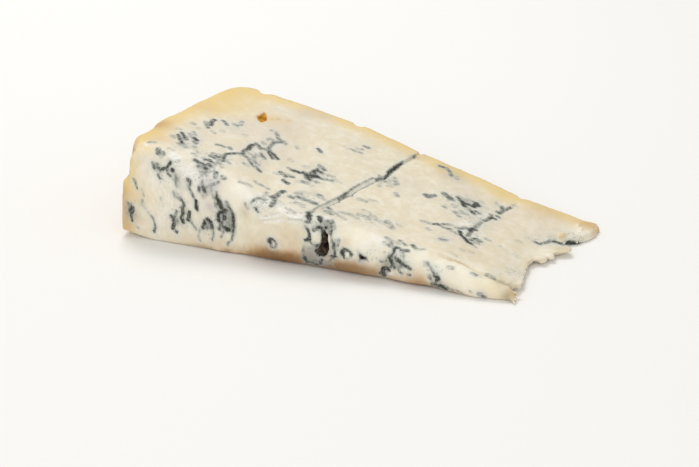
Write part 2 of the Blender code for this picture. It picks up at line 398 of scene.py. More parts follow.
LONG_CHANNEL = [
    (88.9, 74.5, 0.6), (88.0, 68.5, 0.8), (85.7, 58, 0.65), (84.9, 50, 0.8), (84.5, 43, 0.7),
    (82.9, 39.5, 0.7), (81.3, 34, 0.95), (79.6, 29, 0.85), (78.3, 23, 1.0), (76.9, 18.3, 0.95),
    (75.0, 13, 0.8), (72.9, 7.5, 0.8), (71.6, 2, 0.9), (71.3, -1.5, 0.9),
]
SHORT_CHANNEL = [
    (129.6, 60, 0.5), (127.4, 53, 0.7), (126.2, 47, 0.6), (124.6, 41.5, 0.7), (123.0, 36, 0.6),
    (122.2, 29, 0.6), (122.0, 24, 0.6), (121.3, 21, 0.4),
]
carve(on_top(LONG_CHANNEL, 0.15))
carve(on_top(SHORT_CHANNEL, 0.0))

carve([
    (78.9, -2.6, 17.2, 0.8), (78.7, -2.2, 14.5, 1.2), (78.9, -2.0, 11.5, 1.5),
    (78.7, -1.8, 9.2, 1.9), (78.2, -2.0, 7.2, 1.6),
], lip=0.25)
# the slot's foot reaches left, over the plug
carve([(78.0, -1.8, 8.8, 1.5), (76.9, -2.0, 7.8, 1.2), (76.3, -2.2, 6.6, 1.0)], lip=0.25)
carve([(79.4, 0.2, 14.0, 1.0), (79.4, 1.5, 11.0, 1.3), (78.4, 1.5, 8.6, 1.4)], lip=0.3)  # it runs deep
carve([(82.8, -3.4, 12.2, 0.35), (83.1, -3.1, 9.8, 0.5), (82.8, -3.0, 7.4, 0.35)], lip=0.2)
carve([(72.9, -3.2, 17.0, 0.35), (74.0, -2.9, 14.0, 0.5), (74.2, -3.0, 11.4, 0.35)], lip=0.2)
scoop((74.4, -3.4, 7.0), (2.4, 1.3, 2.2), 0.5)
scoop((73.2, -3.5, 19.8), (1.3, 1.6, 1.4), 0.4)
carve([(101.7, -2.7, 6.2, 0.9), (100.4, -2.4, 4.4, 1.3), (100.3, -2.0, 3.0, 0.9)], lip=0.4)
carve([(101.7, -2.7, 6.2, 0.9), (103.3, -2.6, 8.6, 0.8), (104.1, -2.4, 11.5, 0.45)], lip=0.4)
scoop((42.3, -1.4, 13.8), (2.7, 1.7, 6.0), 0.5)
scoop((39.4, -0.9, 14.0), (1.0, 1.6, 1.6), 0.3)
scoop((42.0, -0.9, 9.4), (1.2, 1.5, 0.8), 0.3)
scoop((30.2, -0.3, 16.6), (0.6, 1.2, 2.2), 0.3)
WHEY_PIT = [  # narrow at its back
    (34.3, 49.2, 0.8), (33.8, 51.0, 1.45), (32.8, 53.4, 1.35), (32.3, 55.6, 0.8), (31.9, 57.0, 0.4),
]
carve(on_top(WHEY_PIT, 0.25), lip=0.25)
carve(on_top([(33.0, 50.8, 1.1), (31.4, 52.6, 0.7)], 0.3), lip=0.25)
# needle holes, as (x, z, radius, depth): paste has closed the first two nearly to their mouths
for x, z, radius, depth in ((60.1, 8.1, 1.25, 0.55), (87.0, 8.6, 1.35, 0.55), (92.6, 8.0, 1.0, 2.4)):
    mouth = float(front_wall(np.array(x), np.array(z)))
    carve([(x, -7, z, radius), (x, mouth + depth - 0.7 * radius, z, 0.7 * radius)], lip=0.25)
# Needles also went in through the wheel's flat, and three of them broke through its rim.
for x, radius, depth in ((24.8, 2.2, 1.5), (63.4, 2.0, 1.6), (129.5, 1.2, 0.9)):
    rim_y = float(along(BACK_WALL, x)) + radius - depth
    carve([(x, rim_y, z, radius) for z in (-3, 40)], lip=0.8)
print("cavities carved")

# %% Find the surface behind a point
SLIDE_FROM = 12  # mm before a point, along the line of sight
SLIDE_STEPS = 60
SLIDE_SHARE = 0.7  # of the distance still to go, at each step


def field_at(spots, field=None):
    """The field between the grid's points, for a list of points."""
    field = paste if field is None else field
    place = np.clip((spots - GRID_LOW) / CELL, 0, COUNTS - 1.001)
    first = place.astype(int)
    share = place - first
    total = 0
    for corner in np.ndindex(2, 2, 2):
        weight = np.prod(np.where(corner, share, 1 - share), axis=1)
        total = total + weight * field[tuple((first + corner).T)]
    return total


def settle(spots):
    """Slides the points along the line of sight, from a little before them, to the surface."""
    toward = spots - CAMERA_PLACE
    toward /= np.linalg.norm(toward, axis=1)[:, None]
    spots = spots - SLIDE_FROM * toward
    for _ in range(SLIDE_STEPS):
        step = np.clip(field_at(spots), -1, 2)
        spots = spots + SLIDE_SHARE * step[:, None] * toward
    return spots


# %% [markdown]
# ### Nodules and smears
# The mould pushes up a few pale nodules beside the cleft and near the tear, and the wire dragged the
# ripe paste into low, wavy smears under the front edge. They are added to the same field. Each first
# slides along the camera's line of sight on to the surface, so that it grows out of the paste and
# none floats. The torn edge itself ends in little nubs, and along its ledge in softer scallops.

# %% Add them


def seat(path):
    """The path, as (x, y, z, radius), slid on to the surface."""
    path = np.array(path, float)
    return np.column_stack([settle(path[:, :3]), path[:, 3]])


SMEARS = [
    [(54, -2.6, 17.6, 0.3), (60.4, -2.7, 17.5, 0.5), (65.9, -2.6, 17.5, 0.3)],
    [(58.0, -2.3, 19.3, 0.3), (61.5, -2.2, 19.2, 0.5), (65.0, -2.2, 19.0, 0.3)],
    [(64.0, -2.6, 18.1, 0.3), (67.4, -2.6, 18.3, 0.45), (70.6, -2.6, 18.2, 0.3)],
    [(64.6, -2.0, 20.4, 0.3), (67.8, -2.0, 20.2, 0.45), (71.0, -2.0, 19.8, 0.3)],
    [(52, -2.4, 14.8, 0.3), (57, -2.9, 15.3, 0.45), (62, -3.0, 15.0, 0.3)],
]
for smear in [seat(smear) for smear in SMEARS]:
    swell(paste, lambda x, y, z: chain(smear, x, y, z), smear, 2.5, 0.3)
LEDGE = (24, 43)  # y, where the tear has softer scallops instead of nubs
LAST_NUB = 63
chance = np.random.default_rng(3)
for y in np.cumsum(chance.uniform(1.4, 3.6, 26)):  # torn paste ends in little rounded nubs
    radius = chance.uniform(0.5, 1.1)
    if y > LAST_NUB or LEDGE[0] < y < LEDGE[1]:
        continue
    nub = (min(float(along(TORN_TIP, y)) - 1.0 * radius, LENGTH - radius), y, chance.uniform(1.2, 2.4))
    swell(paste, lambda x, y, z: egg(nub, (radius, radius, 0.8 * radius), x, y, z), [nub], 3, 0.5)
for y, radius in ((26.2, 1.5), (29.3, 1.7), (32.6, 1.4)):  # and in softer scallops along its ledge
    nub = (float(along(TORN_TIP, y)) - 1.1 * radius, y, 1.8)
    swell(paste, lambda x, y, z: egg(nub, (radius, radius, 0.8 * radius), x, y, z), [nub], 4, 0.8)
NODULES = [
    ((105.8, -2.7, 11.6), (1.4, 1.3, 1.8)), ((152.6, 58.6, 3.0), (0.6, 1.8, 1.1)),
    ((154.2, 55.8, 2.7), (0.6, 1.8, 1.1)), ((149.8, 46.0, 3.9), (0.9, 2.4, 1.4)),
]
for centre, radii in NODULES:
    seated = settle(np.array([centre]))[0]
    print("nodule moved by", round(float(np.linalg.norm(seated - centre)), 2), "mm")
    swell(paste, lambda x, y, z: egg(seated, radii, x, y, z), [seated], 4, 0.6)
paste = np.maximum(paste, -Z)  # the board pressed the underside flat
print("nodules, smears and nubs added")

# %% [markdown]
# ## From the field to a mesh
# OpenVDB, which comes with Blender, draws quads where the field is 0. The underside is a plane, so
# its small quads are replaced by twice as coarse triangles, drawn between its outline and a grid.

# %% Draw the surface
volume = openvdb.FloatGrid(3.0)
volume.copyFromArray(paste)
points, quads = volume.convertToQuads(0.0)
points = GRID_LOW + points.astype(float) * CELL
quads = quads.astype(np.int64)


def facing(points, quads):
    """Each quad's area vector, longer for a larger quad."""
    corner = points[quads]
    return np.cross(corner[:, 2] - corner[:, 0], corner[:, 3] - corner[:, 1]) / 2


normals = facing(points, quads)
signed_volume = (normals * points[quads].mean(1)).sum() / 3
if signed_volume < 0:
    quads = quads[:, ::-1]
    normals = -normals
print(len(quads), "quads, volume", round(abs(signed_volume) / 1000, 1), "cubic cm")

# %% Take out the flat underside and close it with coarser triangles


def border_of(faces):
    """The faces' open edges as one loop of points, in order. The longest loop is the outline."""
    edges = np.concatenate([faces[:, [i, (i + 1) % 4]] for i in range(4)])
    key = edges[:, 0] * (edges.max() + 1) + edges[:, 1]
    back = edges[:, 1] * (edges.max() + 1) + edges[:, 0]
    follow = dict(edges[~np.isin(key, back)])
    loops = []
    while follow:
        start, at = follow.popitem()
        loop = [start]
        while at != start:
            loop.append(at)
            at = follow.pop(at)
        loops.append(loop)
    return sorted(loops, key=len)[-1], len(loops)


ON_BOARD = 0.02  # a vertex this close above the board, in mm, lies on it
UNDER_STEP = 1.1
WELL_INSIDE = 0.8  # mm from the walls, where the underside's grid may start
is_flat = (points[quads][:, :, 2] < ON_BOARD).all(1) & (normals[:, 2] < 0)
outline, loop_count = border_of(quads[is_flat])
quads = quads[~is_flat]
used, first_use = np.unique(quads, return_inverse=True)
quads = first_use.reshape(quads.shape)
outline = np.searchsorted(used, outline)
points = points[used]
print("underside outline:", len(outline), "points,", loop_count, "loop,", len(quads), "quads stay")
low, high = points.min(0), points.max(0)
steps_along, steps_back = (np.arange(low[k], high[k], UNDER_STEP) for k in range(2))
across, deep = np.meshgrid(steps_along, steps_back)
inner = np.column_stack([across.ravel(), deep.ravel(), np.ones(across.size)])
inner = inner[field_at(inner) < -WELL_INSIDE] * (1, 1, 0)  # sunk on to the board
count = len(outline)
rim_edges = [(k, (k + 1) % count) for k in range(count)]
flat_places = [Vector(place) for place in np.concatenate([points[outline], inner])[:, :2].tolist()]
corners, _, triangles, came_from, _, _ = delaunay_2d_cdt(flat_places, rim_edges, [], 1, 1e-6)
number = [int(outline[source[0]]) if source[0] < count else len(points) + source[0] - count
          for source in came_from]
under = [[number[k] for k in triangle[::-1]] for triangle in triangles]
is_under = np.arange(len(points) + len(inner)) >= len(points)
points = np.concatenate([points, inner])
print("underside:", len(under), "triangles,", len(inner), "inner points")

# %% [markdown]
# ## Where the mould grows
# Blue mould lines the cracks between the curds: thin branching threads, dark where it bore spores,
# blue-grey and white where it is young. Their places are what makes this wedge this one. Each thread
# is a stroke of a few points in millimetres: (half width, darkness, points). On the upper cut a point
# is (x, y), on the front wall (x, z).
#
# These lists aren't an example to follow. Most of their numbers weren't chosen on the ruler: another
# program worked them out from points picked one by one, and wrote them down. That also holds for most of
# the white ridges below and for the outline `TORN_TIP` above, and many cavities and patches were
# typed in at places looked up that way. A list read off the ruler and typed in would be better.

# %% Strokes on the upper cut, from the rind to the middle
TOP_STROKES = [
    # small marks along the outer rind, above the front edge
    (0.49, 0.40, [(9.6, 6.6), (11.0, 8.0)]), (0.33, 0.22, [(16.7, 6.8), (18.9, 6.9)]),
    (0.41, 0.40, [(13.6, 16.4), (15.0, 15.1)]), (0.45, 0.75, [(15.1, 18.1), (16.9, 15.8), (18.9, 13.7)]),
    (0.41, 0.40, [(18.0, 12.4), (18.7, 12.1)]), (0.50, 0.80, [(15.5, 20.5), (17.6, 18.4), (18.6, 17.3)]),
    (0.41, 0.40, [(18.0, 21.7), (19.0, 20.6)]), (0.41, 0.45, [(18.4, 24.0), (19.6, 22.2)]),
    (0.57, 0.95, [(20.4, 20.0), (21.8, 19.2)]), (0.41, 0.60, [(21.9, 17.3), (22.9, 16.8)]),
    (0.41, 0.35, [(19.4, 13.1), (21.0, 11.7)]), (0.41, 0.30, [(23.0, 14.5), (24.8, 12.2), (26.4, 11.2)]),
    (0.41, 0.35, [(12.7, 22.6), (13.6, 22.8)]), (0.49, 0.35, [(15.0, 29.9), (15.9, 29.7)]),
    (0.41, 0.30, [(17.9, 28.0), (18.7, 27.8)]),
    # threads towards the wheel flat
    (0.49, 0.55, [(18.4, 34.0), (20.1, 31.6), (20.9, 30.8)]),
    (0.57, 0.75, [(20.2, 37.9), (20.2, 35.3), (20.9, 33.4)]),
    (0.45, 0.60, [(22.9, 39.5), (24.9, 38.2), (25.3, 37.6)]),
    (0.45, 0.45, [(26.8, 40.0), (28.5, 39.4), (29.3, 41.1), (28.4, 44.0)]),
    (0.41, 0.30, [(23.1, 29.4), (24.6, 28.7)]), (0.41, 0.25, [(25.4, 32.0), (26.8, 31.7)]),
    (0.33, 0.55, [(28.7, 21.0), (30.3, 21.4), (31.6, 21.0)]), (0.49, 0.65, [(33.3, 22.0), (34.1, 21.3)]),
    (0.33, 0.35, [(25.2, 9.1), (26.6, 8.4)]), (0.41, 0.22, [(33.3, 34.8), (34.3, 34.2)]),
    # the main branching vein
    (0.49, 0.65, [(27.8, 5.1), (29.5, 4.7), (30.9, 4.1), (32.3, 3.4)]),
    (0.37, 0.60, [(30.6, 1.9), (31.6, 1.8)]), (0.49, 0.80, [(32.7, 2.3), (33.5, 1.7)]),
    (0.49, 0.75, [(30.4, 8.0), (31.5, 8.5), (33.1, 7.5)]), (0.49, 0.70, [(32.6, 5.6), (33.8, 4.8)]),
    (0.45, 0.60, [(30.6, 13.9), (32.4, 13.1), (33.2, 12.8)]), (0.45, 0.65, [(30.8, 11.7), (32.7, 10.9)]),
    (0.41, 0.50, [(32.7, 14.3), (34.2, 12.7), (34.5, 10.2)]),
    (0.37, 0.50, [(34.7, 7.4), (34.9, 9.5), (35.4, 10.9)]),
    (0.45, 0.70, [(35.8, 11.3), (35.0, 13.4), (34.2, 15.6), (34.6, 16.9)]),
    (0.45, 0.80, [(34.6, 16.9), (35.5, 18.2), (36.6, 19.2)]),
    (0.41, 0.65, [(36.6, 19.2), (38.3, 20.7), (38.9, 20.9)]), (0.41, 0.45, [(35.9, 12.3), (37.9, 11.3)]),
    (0.41, 0.30, [(36.3, 8.0), (37.2, 6.8)]), (0.37, 0.30, [(41.3, 15.5), (43.1, 15.7)]),
    (0.45, 0.75, [(38.9, 20.9), (38.2, 23.0), (38.5, 24.7), (39.0, 25.7)]),
    (0.61, 0.85, [(39.0, 25.7), (38.7, 27.7), (38.8, 29.3)]),
    (0.49, 0.65, [(39.1, 28.6), (39.4, 31.4), (40.7, 30.7), (41.7, 29.6)]),
    (0.45, 0.60, [(41.9, 29.3), (43.0, 30.2), (44.2, 31.0)]), (0.49, 0.40, [(41.1, 33.9), (41.9, 33.4)]),
    (0.37, 0.65, [(44.2, 31.0), (44.1, 33.1), (44.0, 35.2), (44.1, 37.0), (44.5, 37.8), (45.9, 39.2)]),
    (0.41, 0.45, [(45.9, 40.1), (47.0, 40.2), (47.8, 39.2)]),
    (0.37, 0.40, [(41.6, 37.3), (42.1, 38.8), (43.7, 37.9)]),
    (0.37, 0.50, [(42.5, 43.5), (44.0, 41.0), (45.1, 40.2)]), (0.41, 0.40, [(40.1, 44.7), (41.7, 44.6)]),
    (0.45, 0.55, [(40.0, 20.2), (41.3, 20.0), (42.5, 18.9), (43.7, 17.9), (45.0, 17.5)]),
    (0.41, 0.65, [(45.0, 17.5), (46.2, 17.2), (47.2, 16.8)]), (0.41, 0.35, [(40.6, 22.8), (41.1, 23.0)]),
    (0.49, 0.45, [(42.5, 22.4), (43.0, 20.4), (44.4, 19.7), (45.2, 19.6)]),
    (0.45, 0.60, [(43.5, 26.3), (44.6, 25.5), (45.4, 25.1)]),
    (0.41, 0.70, [(45.0, 30.1), (46.2, 28.6), (47.5, 27.2)]),
    (0.41, 0.80, [(45.2, 30.4), (46.6, 29.9), (48.1, 29.0), (49.1, 28.5)]),
    (0.45, 0.40, [(42.6, 24.4), (43.2, 24.3)]),
]

# %% Strokes on the upper cut, from the middle to the knot
TOP_STROKES += [
    # the star's black middle
    (0.70, 1.00, [(61.2, 25.4), (62.6, 26.1), (64.6, 26.9)]), (0.50, 0.80, [(62.6, 29.2), (63.6, 30.6)]),
    # small blots, then the star
    (0.37, 0.35, [(45.1, 4.1), (47.1, 5.6), (48.4, 5.9)]),
    (0.37, 0.35, [(48.3, 9.7), (49.8, 9.7), (51.9, 10.1), (53.5, 9.7)]),
    (0.49, 0.25, [(51.4, 20.2), (52.5, 20.4)]), (0.53, 0.60, [(52.7, 21.7), (54.3, 21.4), (55.4, 20.7)]),
    (0.45, 0.60, [(56.5, 21.7), (57.6, 21.8)]), (0.37, 0.40, [(54.7, 22.4), (56.4, 22.0)]),
    (0.45, 0.75, [(55.5, 17.7), (56.8, 17.2), (57.7, 17.0)]), (0.41, 0.40, [(53.9, 26.2), (55.0, 25.5)]),
    (0.49, 0.75, [(56.1, 25.5), (57.5, 25.7), (58.8, 25.5)]),
    (0.53, 0.80, [(59.7, 26.5), (60.8, 26.1), (62.2, 25.5)]), (0.49, 0.75, [(62.0, 24.0), (63.4, 23.4)]),
    (0.82, 1.00, [(62.5, 25.2), (63.4, 26.2), (64.7, 26.8)]), (0.45, 0.85, [(62.7, 29.6), (63.4, 27.8)]),
    (0.41, 0.60, [(61.9, 27.2), (62.6, 28.4)]), (0.45, 0.75, [(63.0, 31.3), (64.1, 30.2), (65.0, 30.0)]),
    (0.41, 0.60, [(62.8, 33.8), (64.1, 33.2), (65.6, 32.3)]),
    (0.37, 0.70, [(65.1, 26.8), (66.4, 26.5), (67.8, 26.7)]),
    (0.37, 0.50, [(67.8, 26.7), (69.1, 27.2), (70.5, 27.5)]),
    (0.37, 0.40, [(66.5, 29.2), (68.1, 29.9), (69.5, 30.2)]),
    (0.41, 0.60, [(61.4, 20.9), (62.5, 20.9), (63.2, 21.0)]), (0.41, 0.50, [(65.3, 23.5), (66.2, 23.4)]),
    (0.37, 0.25, [(59.1, 19.8), (60.9, 20.2)]), (0.37, 0.25, [(58.2, 30.3), (60.0, 30.0)]),
    (0.37, 0.25, [(64.0, 20.8), (65.4, 20.2)]), (0.45, 0.70, [(58.6, 43.8), (60.1, 42.5)]),
    (0.49, 0.35, [(51.6, 40.0), (52.3, 39.7)]), (0.41, 0.25, [(52.6, 31.2), (53.6, 30.8)]),
    (0.33, 0.22, [(70.2, 29.2), (73.3, 28.1)]),
    # where the vein runs down over the front edge
    (0.49, 0.60, [(37.4, 1.4), (38.4, -1.3)]), (0.49, 0.50, [(40.0, 0.6), (40.8, 0.4)]),
    (0.49, 0.40, [(34.5, -0.4), (35.5, -2.2)]), (0.53, 0.30, [(32.5, -0.2), (34.5, -4.1), (36.0, -7.4)]),
    (0.49, 0.35, [(35.1, 4.0), (35.5, 1.5)]),
    # the bold thread above the arch
    (0.65, 0.75, [(58.3, 11.2), (57.6, 9.7)]), (0.57, 0.60, [(57.6, 9.7), (57.4, 7.6)]),
    (0.69, 0.70, [(57.6, 7.0), (56.5, 5.2)]), (0.61, 0.60, [(57.6, 5.2), (58.5, 2.3), (58.8, -1.0)]),
    (0.45, 0.65, [(61.3, 9.4), (62.5, 9.3)]), (0.45, 0.35, [(62.4, 12.8), (63.9, 13.5)]),
    (0.61, 0.60, [(63.9, 10.7), (65.9, 10.5)]), (0.49, 0.55, [(65.9, 10.5), (68.3, 10.1)]),
    (0.53, 0.60, [(69.6, 10.1), (70.9, 10.1)]), (0.53, 0.30, [(63.8, 5.6), (64.9, 6.5)]),
    (0.49, 0.35, [(66.9, 6.2), (67.9, 5.6)]), (0.45, 0.50, [(69.3, 15.9), (70.6, 15.6)]),
    (0.41, 0.30, [(70.6, 14.7), (72.7, 14.1)]), (0.45, 0.25, [(63.8, 1.1), (66.3, 0.4)]),
    (0.45, 0.22, [(67.1, 1.0), (68.8, 0.5)]), (0.41, 0.25, [(59.3, 3.9), (61.5, 3.0)]),
    # faint streaks to the right of the long channel
    (0.60, 0.35, [(82.4, 22.0), (84.8, 22.2)]), (0.50, 0.25, [(85.6, 24.0), (88.2, 24.6)]),
    (0.50, 0.25, [(86.4, 16.0), (88.0, 15.6)]), (0.60, 0.35, [(80.4, 9.0), (83.4, 9.9), (86.2, 9.0)]),
    (0.60, 0.40, [(86.0, 11.8), (88.8, 12.1), (89.4, 11.0)]),
    (0.70, 0.30, [(90.0, 14.0), (92.8, 12.6), (95.4, 12.0)]),
    (0.80, 0.40, [(95.4, 13.8), (97.0, 13.0), (98.2, 11.0)]), (0.40, 0.20, [(99.0, 15.0), (100.4, 14.2)]),
    (0.50, 0.30, [(81.0, 6.0), (83.2, 5.5)]), (0.50, 0.45, [(88.4, 43.6), (89.6, 42.2), (89.0, 40.8)]),
    (0.90, 0.22, [(86.0, 44.4), (86.8, 41.4), (88.0, 40.4)]), (0.40, 0.40, [(87.2, 45.8), (88.0, 45.2)]),
    (0.60, 0.25, [(84.6, 36.4), (85.4, 35.6)]), (0.50, 0.45, [(91.4, 35.0), (92.6, 33.6)]),
    (0.60, 0.60, [(100.6, 41.6), (102.0, 40.8), (103.4, 43.2)]), (0.80, 0.55, [(105.6, 46.8), (108.6, 45.0)]),
    (0.50, 0.60, [(97.8, 66.6), (100.4, 66.8), (102.2, 65.0), (103.6, 62.4)]),
    (0.60, 0.35, [(105.6, 62.4), (106.2, 61.4)]),
]

# %% Strokes on the upper cut, from the knot to the tip
TOP_STROKES += [
    # the knot behind the short channel
    (0.45, 0.65, [(100.2, 41.2), (101.8, 40.3), (102.3, 42.1), (103.4, 43.5)]),
    (0.53, 0.60, [(106.0, 46.5), (107.3, 45.3), (108.7, 44.6)]),
    (0.37, 0.50, [(108.6, 43.6), (110.3, 44.1)]),
    (0.49, 0.70, [(110.6, 47.6), (112.0, 46.0), (113.0, 45.1)]),
    (0.69, 1.00, [(113.4, 45.0), (114.6, 42.8)]),
    (0.53, 1.00, [(114.6, 44.7), (116.0, 45.1), (117.6, 44.8)]),
    (0.78, 1.00, [(117.5, 45.7), (117.5, 48.1), (118.5, 46.7)]),
    (0.37, 0.40, [(114.3, 48.2), (115.7, 48.6), (116.5, 48.4)]),
    (0.37, 0.35, [(111.3, 48.2), (112.5, 47.9)]), (0.33, 0.30, [(118.0, 51.0), (119.3, 50.4)]),
    (0.41, 0.30, [(120.5, 47.8), (121.6, 47.6)]), (0.41, 0.50, [(116.0, 42.2), (117.1, 41.4)]),
    (0.57, 0.85, [(118.1, 40.5), (119.0, 40.0)]), (0.45, 0.60, [(119.1, 42.1), (120.4, 41.5)]),
    (0.49, 0.40, [(108.5, 37.3), (109.2, 36.9)]), (0.45, 0.30, [(111.2, 40.7), (111.9, 39.5)]),
    (0.49, 0.45, [(113.2, 35.9), (114.0, 35.7)]), (0.45, 0.50, [(114.7, 38.2), (115.8, 37.3)]),
    (0.41, 0.40, [(115.1, 33.9), (115.8, 33.5)]), (0.37, 0.35, [(116.3, 37.8), (117.3, 37.3)]),
    # the short channel and the fork at its end
    (0.41, 0.25, [(122.7, 54.9), (123.7, 53.5)]), (0.41, 0.25, [(128.7, 57.2), (129.7, 57.6)]),
    (0.41, 0.55, [(128.5, 55.1), (127.7, 52.5), (127.0, 50.9)]),
    (0.53, 0.70, [(125.6, 53.2), (126.4, 51.2)]),
    (0.49, 0.65, [(125.2, 48.1), (126.3, 48.2), (126.7, 50.1)]),
    (0.45, 0.50, [(123.9, 44.3), (124.5, 43.5)]),
    (0.49, 0.75, [(124.5, 41.1), (125.1, 42.2), (126.1, 42.4)]),
    (0.49, 0.60, [(126.3, 45.0), (126.9, 44.7)]),
    (0.45, 0.60, [(123.4, 37.6), (124.3, 38.5), (124.7, 40.4)]),
    (0.33, 0.30, [(122.7, 34.9), (123.3, 36.9)]),
    (0.45, 0.50, [(122.4, 29.9), (122.6, 32.4), (123.0, 34.2)]),
    (0.61, 0.90, [(121.3, 26.8), (121.9, 27.9), (122.8, 28.5)]),
    (0.45, 0.65, [(122.2, 26.9), (122.3, 24.2), (122.2, 22.2)]),
    (0.33, 0.45, [(105.4, 22.6), (107.2, 22.6), (108.7, 22.3)]),
    (0.41, 0.75, [(109.5, 22.7), (110.6, 23.4), (111.7, 23.2)]),
    (0.41, 0.55, [(112.5, 24.6), (113.7, 25.0), (115.0, 25.5)]),
    (0.37, 0.60, [(113.2, 22.0), (114.6, 22.1), (115.6, 22.3)]),
    (0.33, 0.40, [(115.8, 21.6), (117.4, 21.1), (118.7, 20.5)]),
    (0.45, 0.55, [(117.2, 25.0), (119.0, 25.6), (119.5, 27.3), (120.7, 27.1)]),
    (0.53, 0.95, [(118.8, 23.3), (120.0, 20.9), (121.4, 20.0), (122.3, 19.2)]),
    (0.53, 0.95, [(122.3, 19.2), (123.4, 18.1), (124.5, 18.0)]),
    (0.33, 0.40, [(124.7, 17.8), (126.3, 16.9)]),
    (0.45, 0.70, [(123.8, 20.4), (124.4, 21.9), (125.2, 22.9)]),
    (0.45, 0.65, [(125.9, 21.8), (126.7, 22.2)]), (0.37, 0.40, [(125.8, 19.9), (126.4, 20.1)]),
    (0.53, 0.45, [(115.1, 13.1), (116.1, 12.9), (116.9, 13.6)]),
    (0.41, 0.35, [(108.6, 18.4), (109.8, 17.8)]), (0.41, 0.35, [(127.7, 25.6), (128.8, 25.4)]),
    (0.49, 0.22, [(136.6, 33.9), (137.6, 33.9)]), (0.41, 0.25, [(122.8, 10.9), (123.7, 11.4)]),
    (0.41, 0.28, [(126.0, 12.3), (126.8, 12.3)]), (0.37, 0.22, [(120.6, 6.5), (123.0, 5.6)]),
    # specks towards the tear
    (0.45, 0.20, [(133.0, 24.6), (134.0, 23.8)]), (0.45, 0.20, [(138.4, 24.6), (139.6, 23.4)]),
    (0.60, 0.12, [(139.0, 13.2), (140.6, 10.4)]), (0.60, 0.12, [(136.6, 8.8), (137.6, 7.6)]),
    (0.45, 0.70, [(141.6, 39.4), (143.4, 39.2), (144.7, 40.8)]), (0.40, 0.60, [(144.7, 41.0), (145.8, 43.2)]),
    (0.40, 0.50, [(145.4, 41.4), (146.9, 42.4)]), (0.45, 0.20, [(139.6, 39.8), (141.0, 39.6)]),
    (0.45, 0.45, [(147.6, 43.0), (148.6, 42.4)]), (0.50, 0.55, [(149.8, 42.6), (151.2, 41.8)]),
    # dark mould and painted shade in the crevice under the torn thumb
    (0.60, 0.90, [(147.4, 43.3), (149.2, 43.0), (150.4, 42.4)]),
    (0.60, 1.00, [(152.0, 43.9), (153.6, 44.4), (155.2, 44.3)]),
    (0.55, 0.90, [(155.2, 44.3), (157.6, 45.3)]),
    (0.60, 0.50, [(157.8, 45.6), (159.2, 47.0)]),
]

# %% Strokes on the upper cut, along the long channel
TOP_STROKES += [
    # faint dashes between the star and the wheel's flat, and blots beside the channel
    (0.40, 0.20, [(65.9, 51.9), (67.3, 51.3)]), (0.40, 0.35, [(67.9, 51.9), (69.4, 52.0)]),
    (0.45, 0.40, [(70.0, 52.3), (71.8, 52.9)]), (0.35, 0.30, [(69.9, 54.8), (71.3, 55.4)]),
    (0.50, 0.60, [(71.3, 58.5), (72.4, 58.9)]), (0.35, 0.45, [(82.7, 42.8), (84.3, 42.6)]),
    (0.40, 0.40, [(85.1, 40.6), (87.0, 40.6)]), (0.35, 0.30, [(87.4, 38.2), (88.6, 38.4)]),
    (0.35, 0.40, [(83.6, 39.2), (84.4, 38.2)]), (0.40, 0.50, [(74.8, 9.6), (77.0, 8.6)]),
    (0.40, 0.50, [(75.8, 6.8), (78.4, 5.8)]), (0.30, 0.40, [(77.4, 7.8), (79.6, 7.2)]),
    # dark where spores filled the channel, and two faint lips before and after
    (0.35, 0.95, [(85.7, 58.8), (85.2, 55.0), (84.9, 52.0), (84.5, 50.0), (84.7, 45.0), (84.5, 41.8)]),
    (0.60, 1.00, [(84.5, 49.8), (84.4, 47.4)]), (0.55, 1.00, [(85.1, 55.2), (84.9, 51.6)]),
    (0.35, 0.60, [(83.8, 41.4), (83.0, 40.0)]), (0.40, 0.60, [(87.7, 67.6), (87.5, 66.4)]),
    (0.22, 0.35, [(87.0, 66.0), (86.6, 62.0), (86.0, 59.6)]),
    (0.13, 0.60, [(83.6, 40.9), (82.4, 39.8), (81.4, 39.3), (80.3, 35.6), (79.0, 31.1), (78.1, 27.5)]),
    (0.15, 0.65, [(78.1, 27.5), (77.3, 23.3), (77.0, 20.2), (75.8, 17.5)]),
    (0.10, 0.50, [(75.8, 17.5), (74.7, 14.8), (74.0, 11.2), (72.5, 8.7), (71.9, 4.2), (71.2, 1.6)]),
    (0.13, 0.60, [(83.6, 40.6), (82.9, 38.2), (81.8, 34.2), (81.0, 30.4), (79.9, 26.6), (79.4, 22.1)]),
    (0.12, 0.55, [(79.4, 22.1), (77.7, 18.4), (77.1, 15.2), (76.0, 12.5), (74.6, 9.6), (73.7, 6.6)]),
    (0.50, 0.55, [(77.5, 20.6), (76.6, 17.6)]), (0.30, 0.45, [(80.6, 33.4), (81.4, 35.4)]),
]

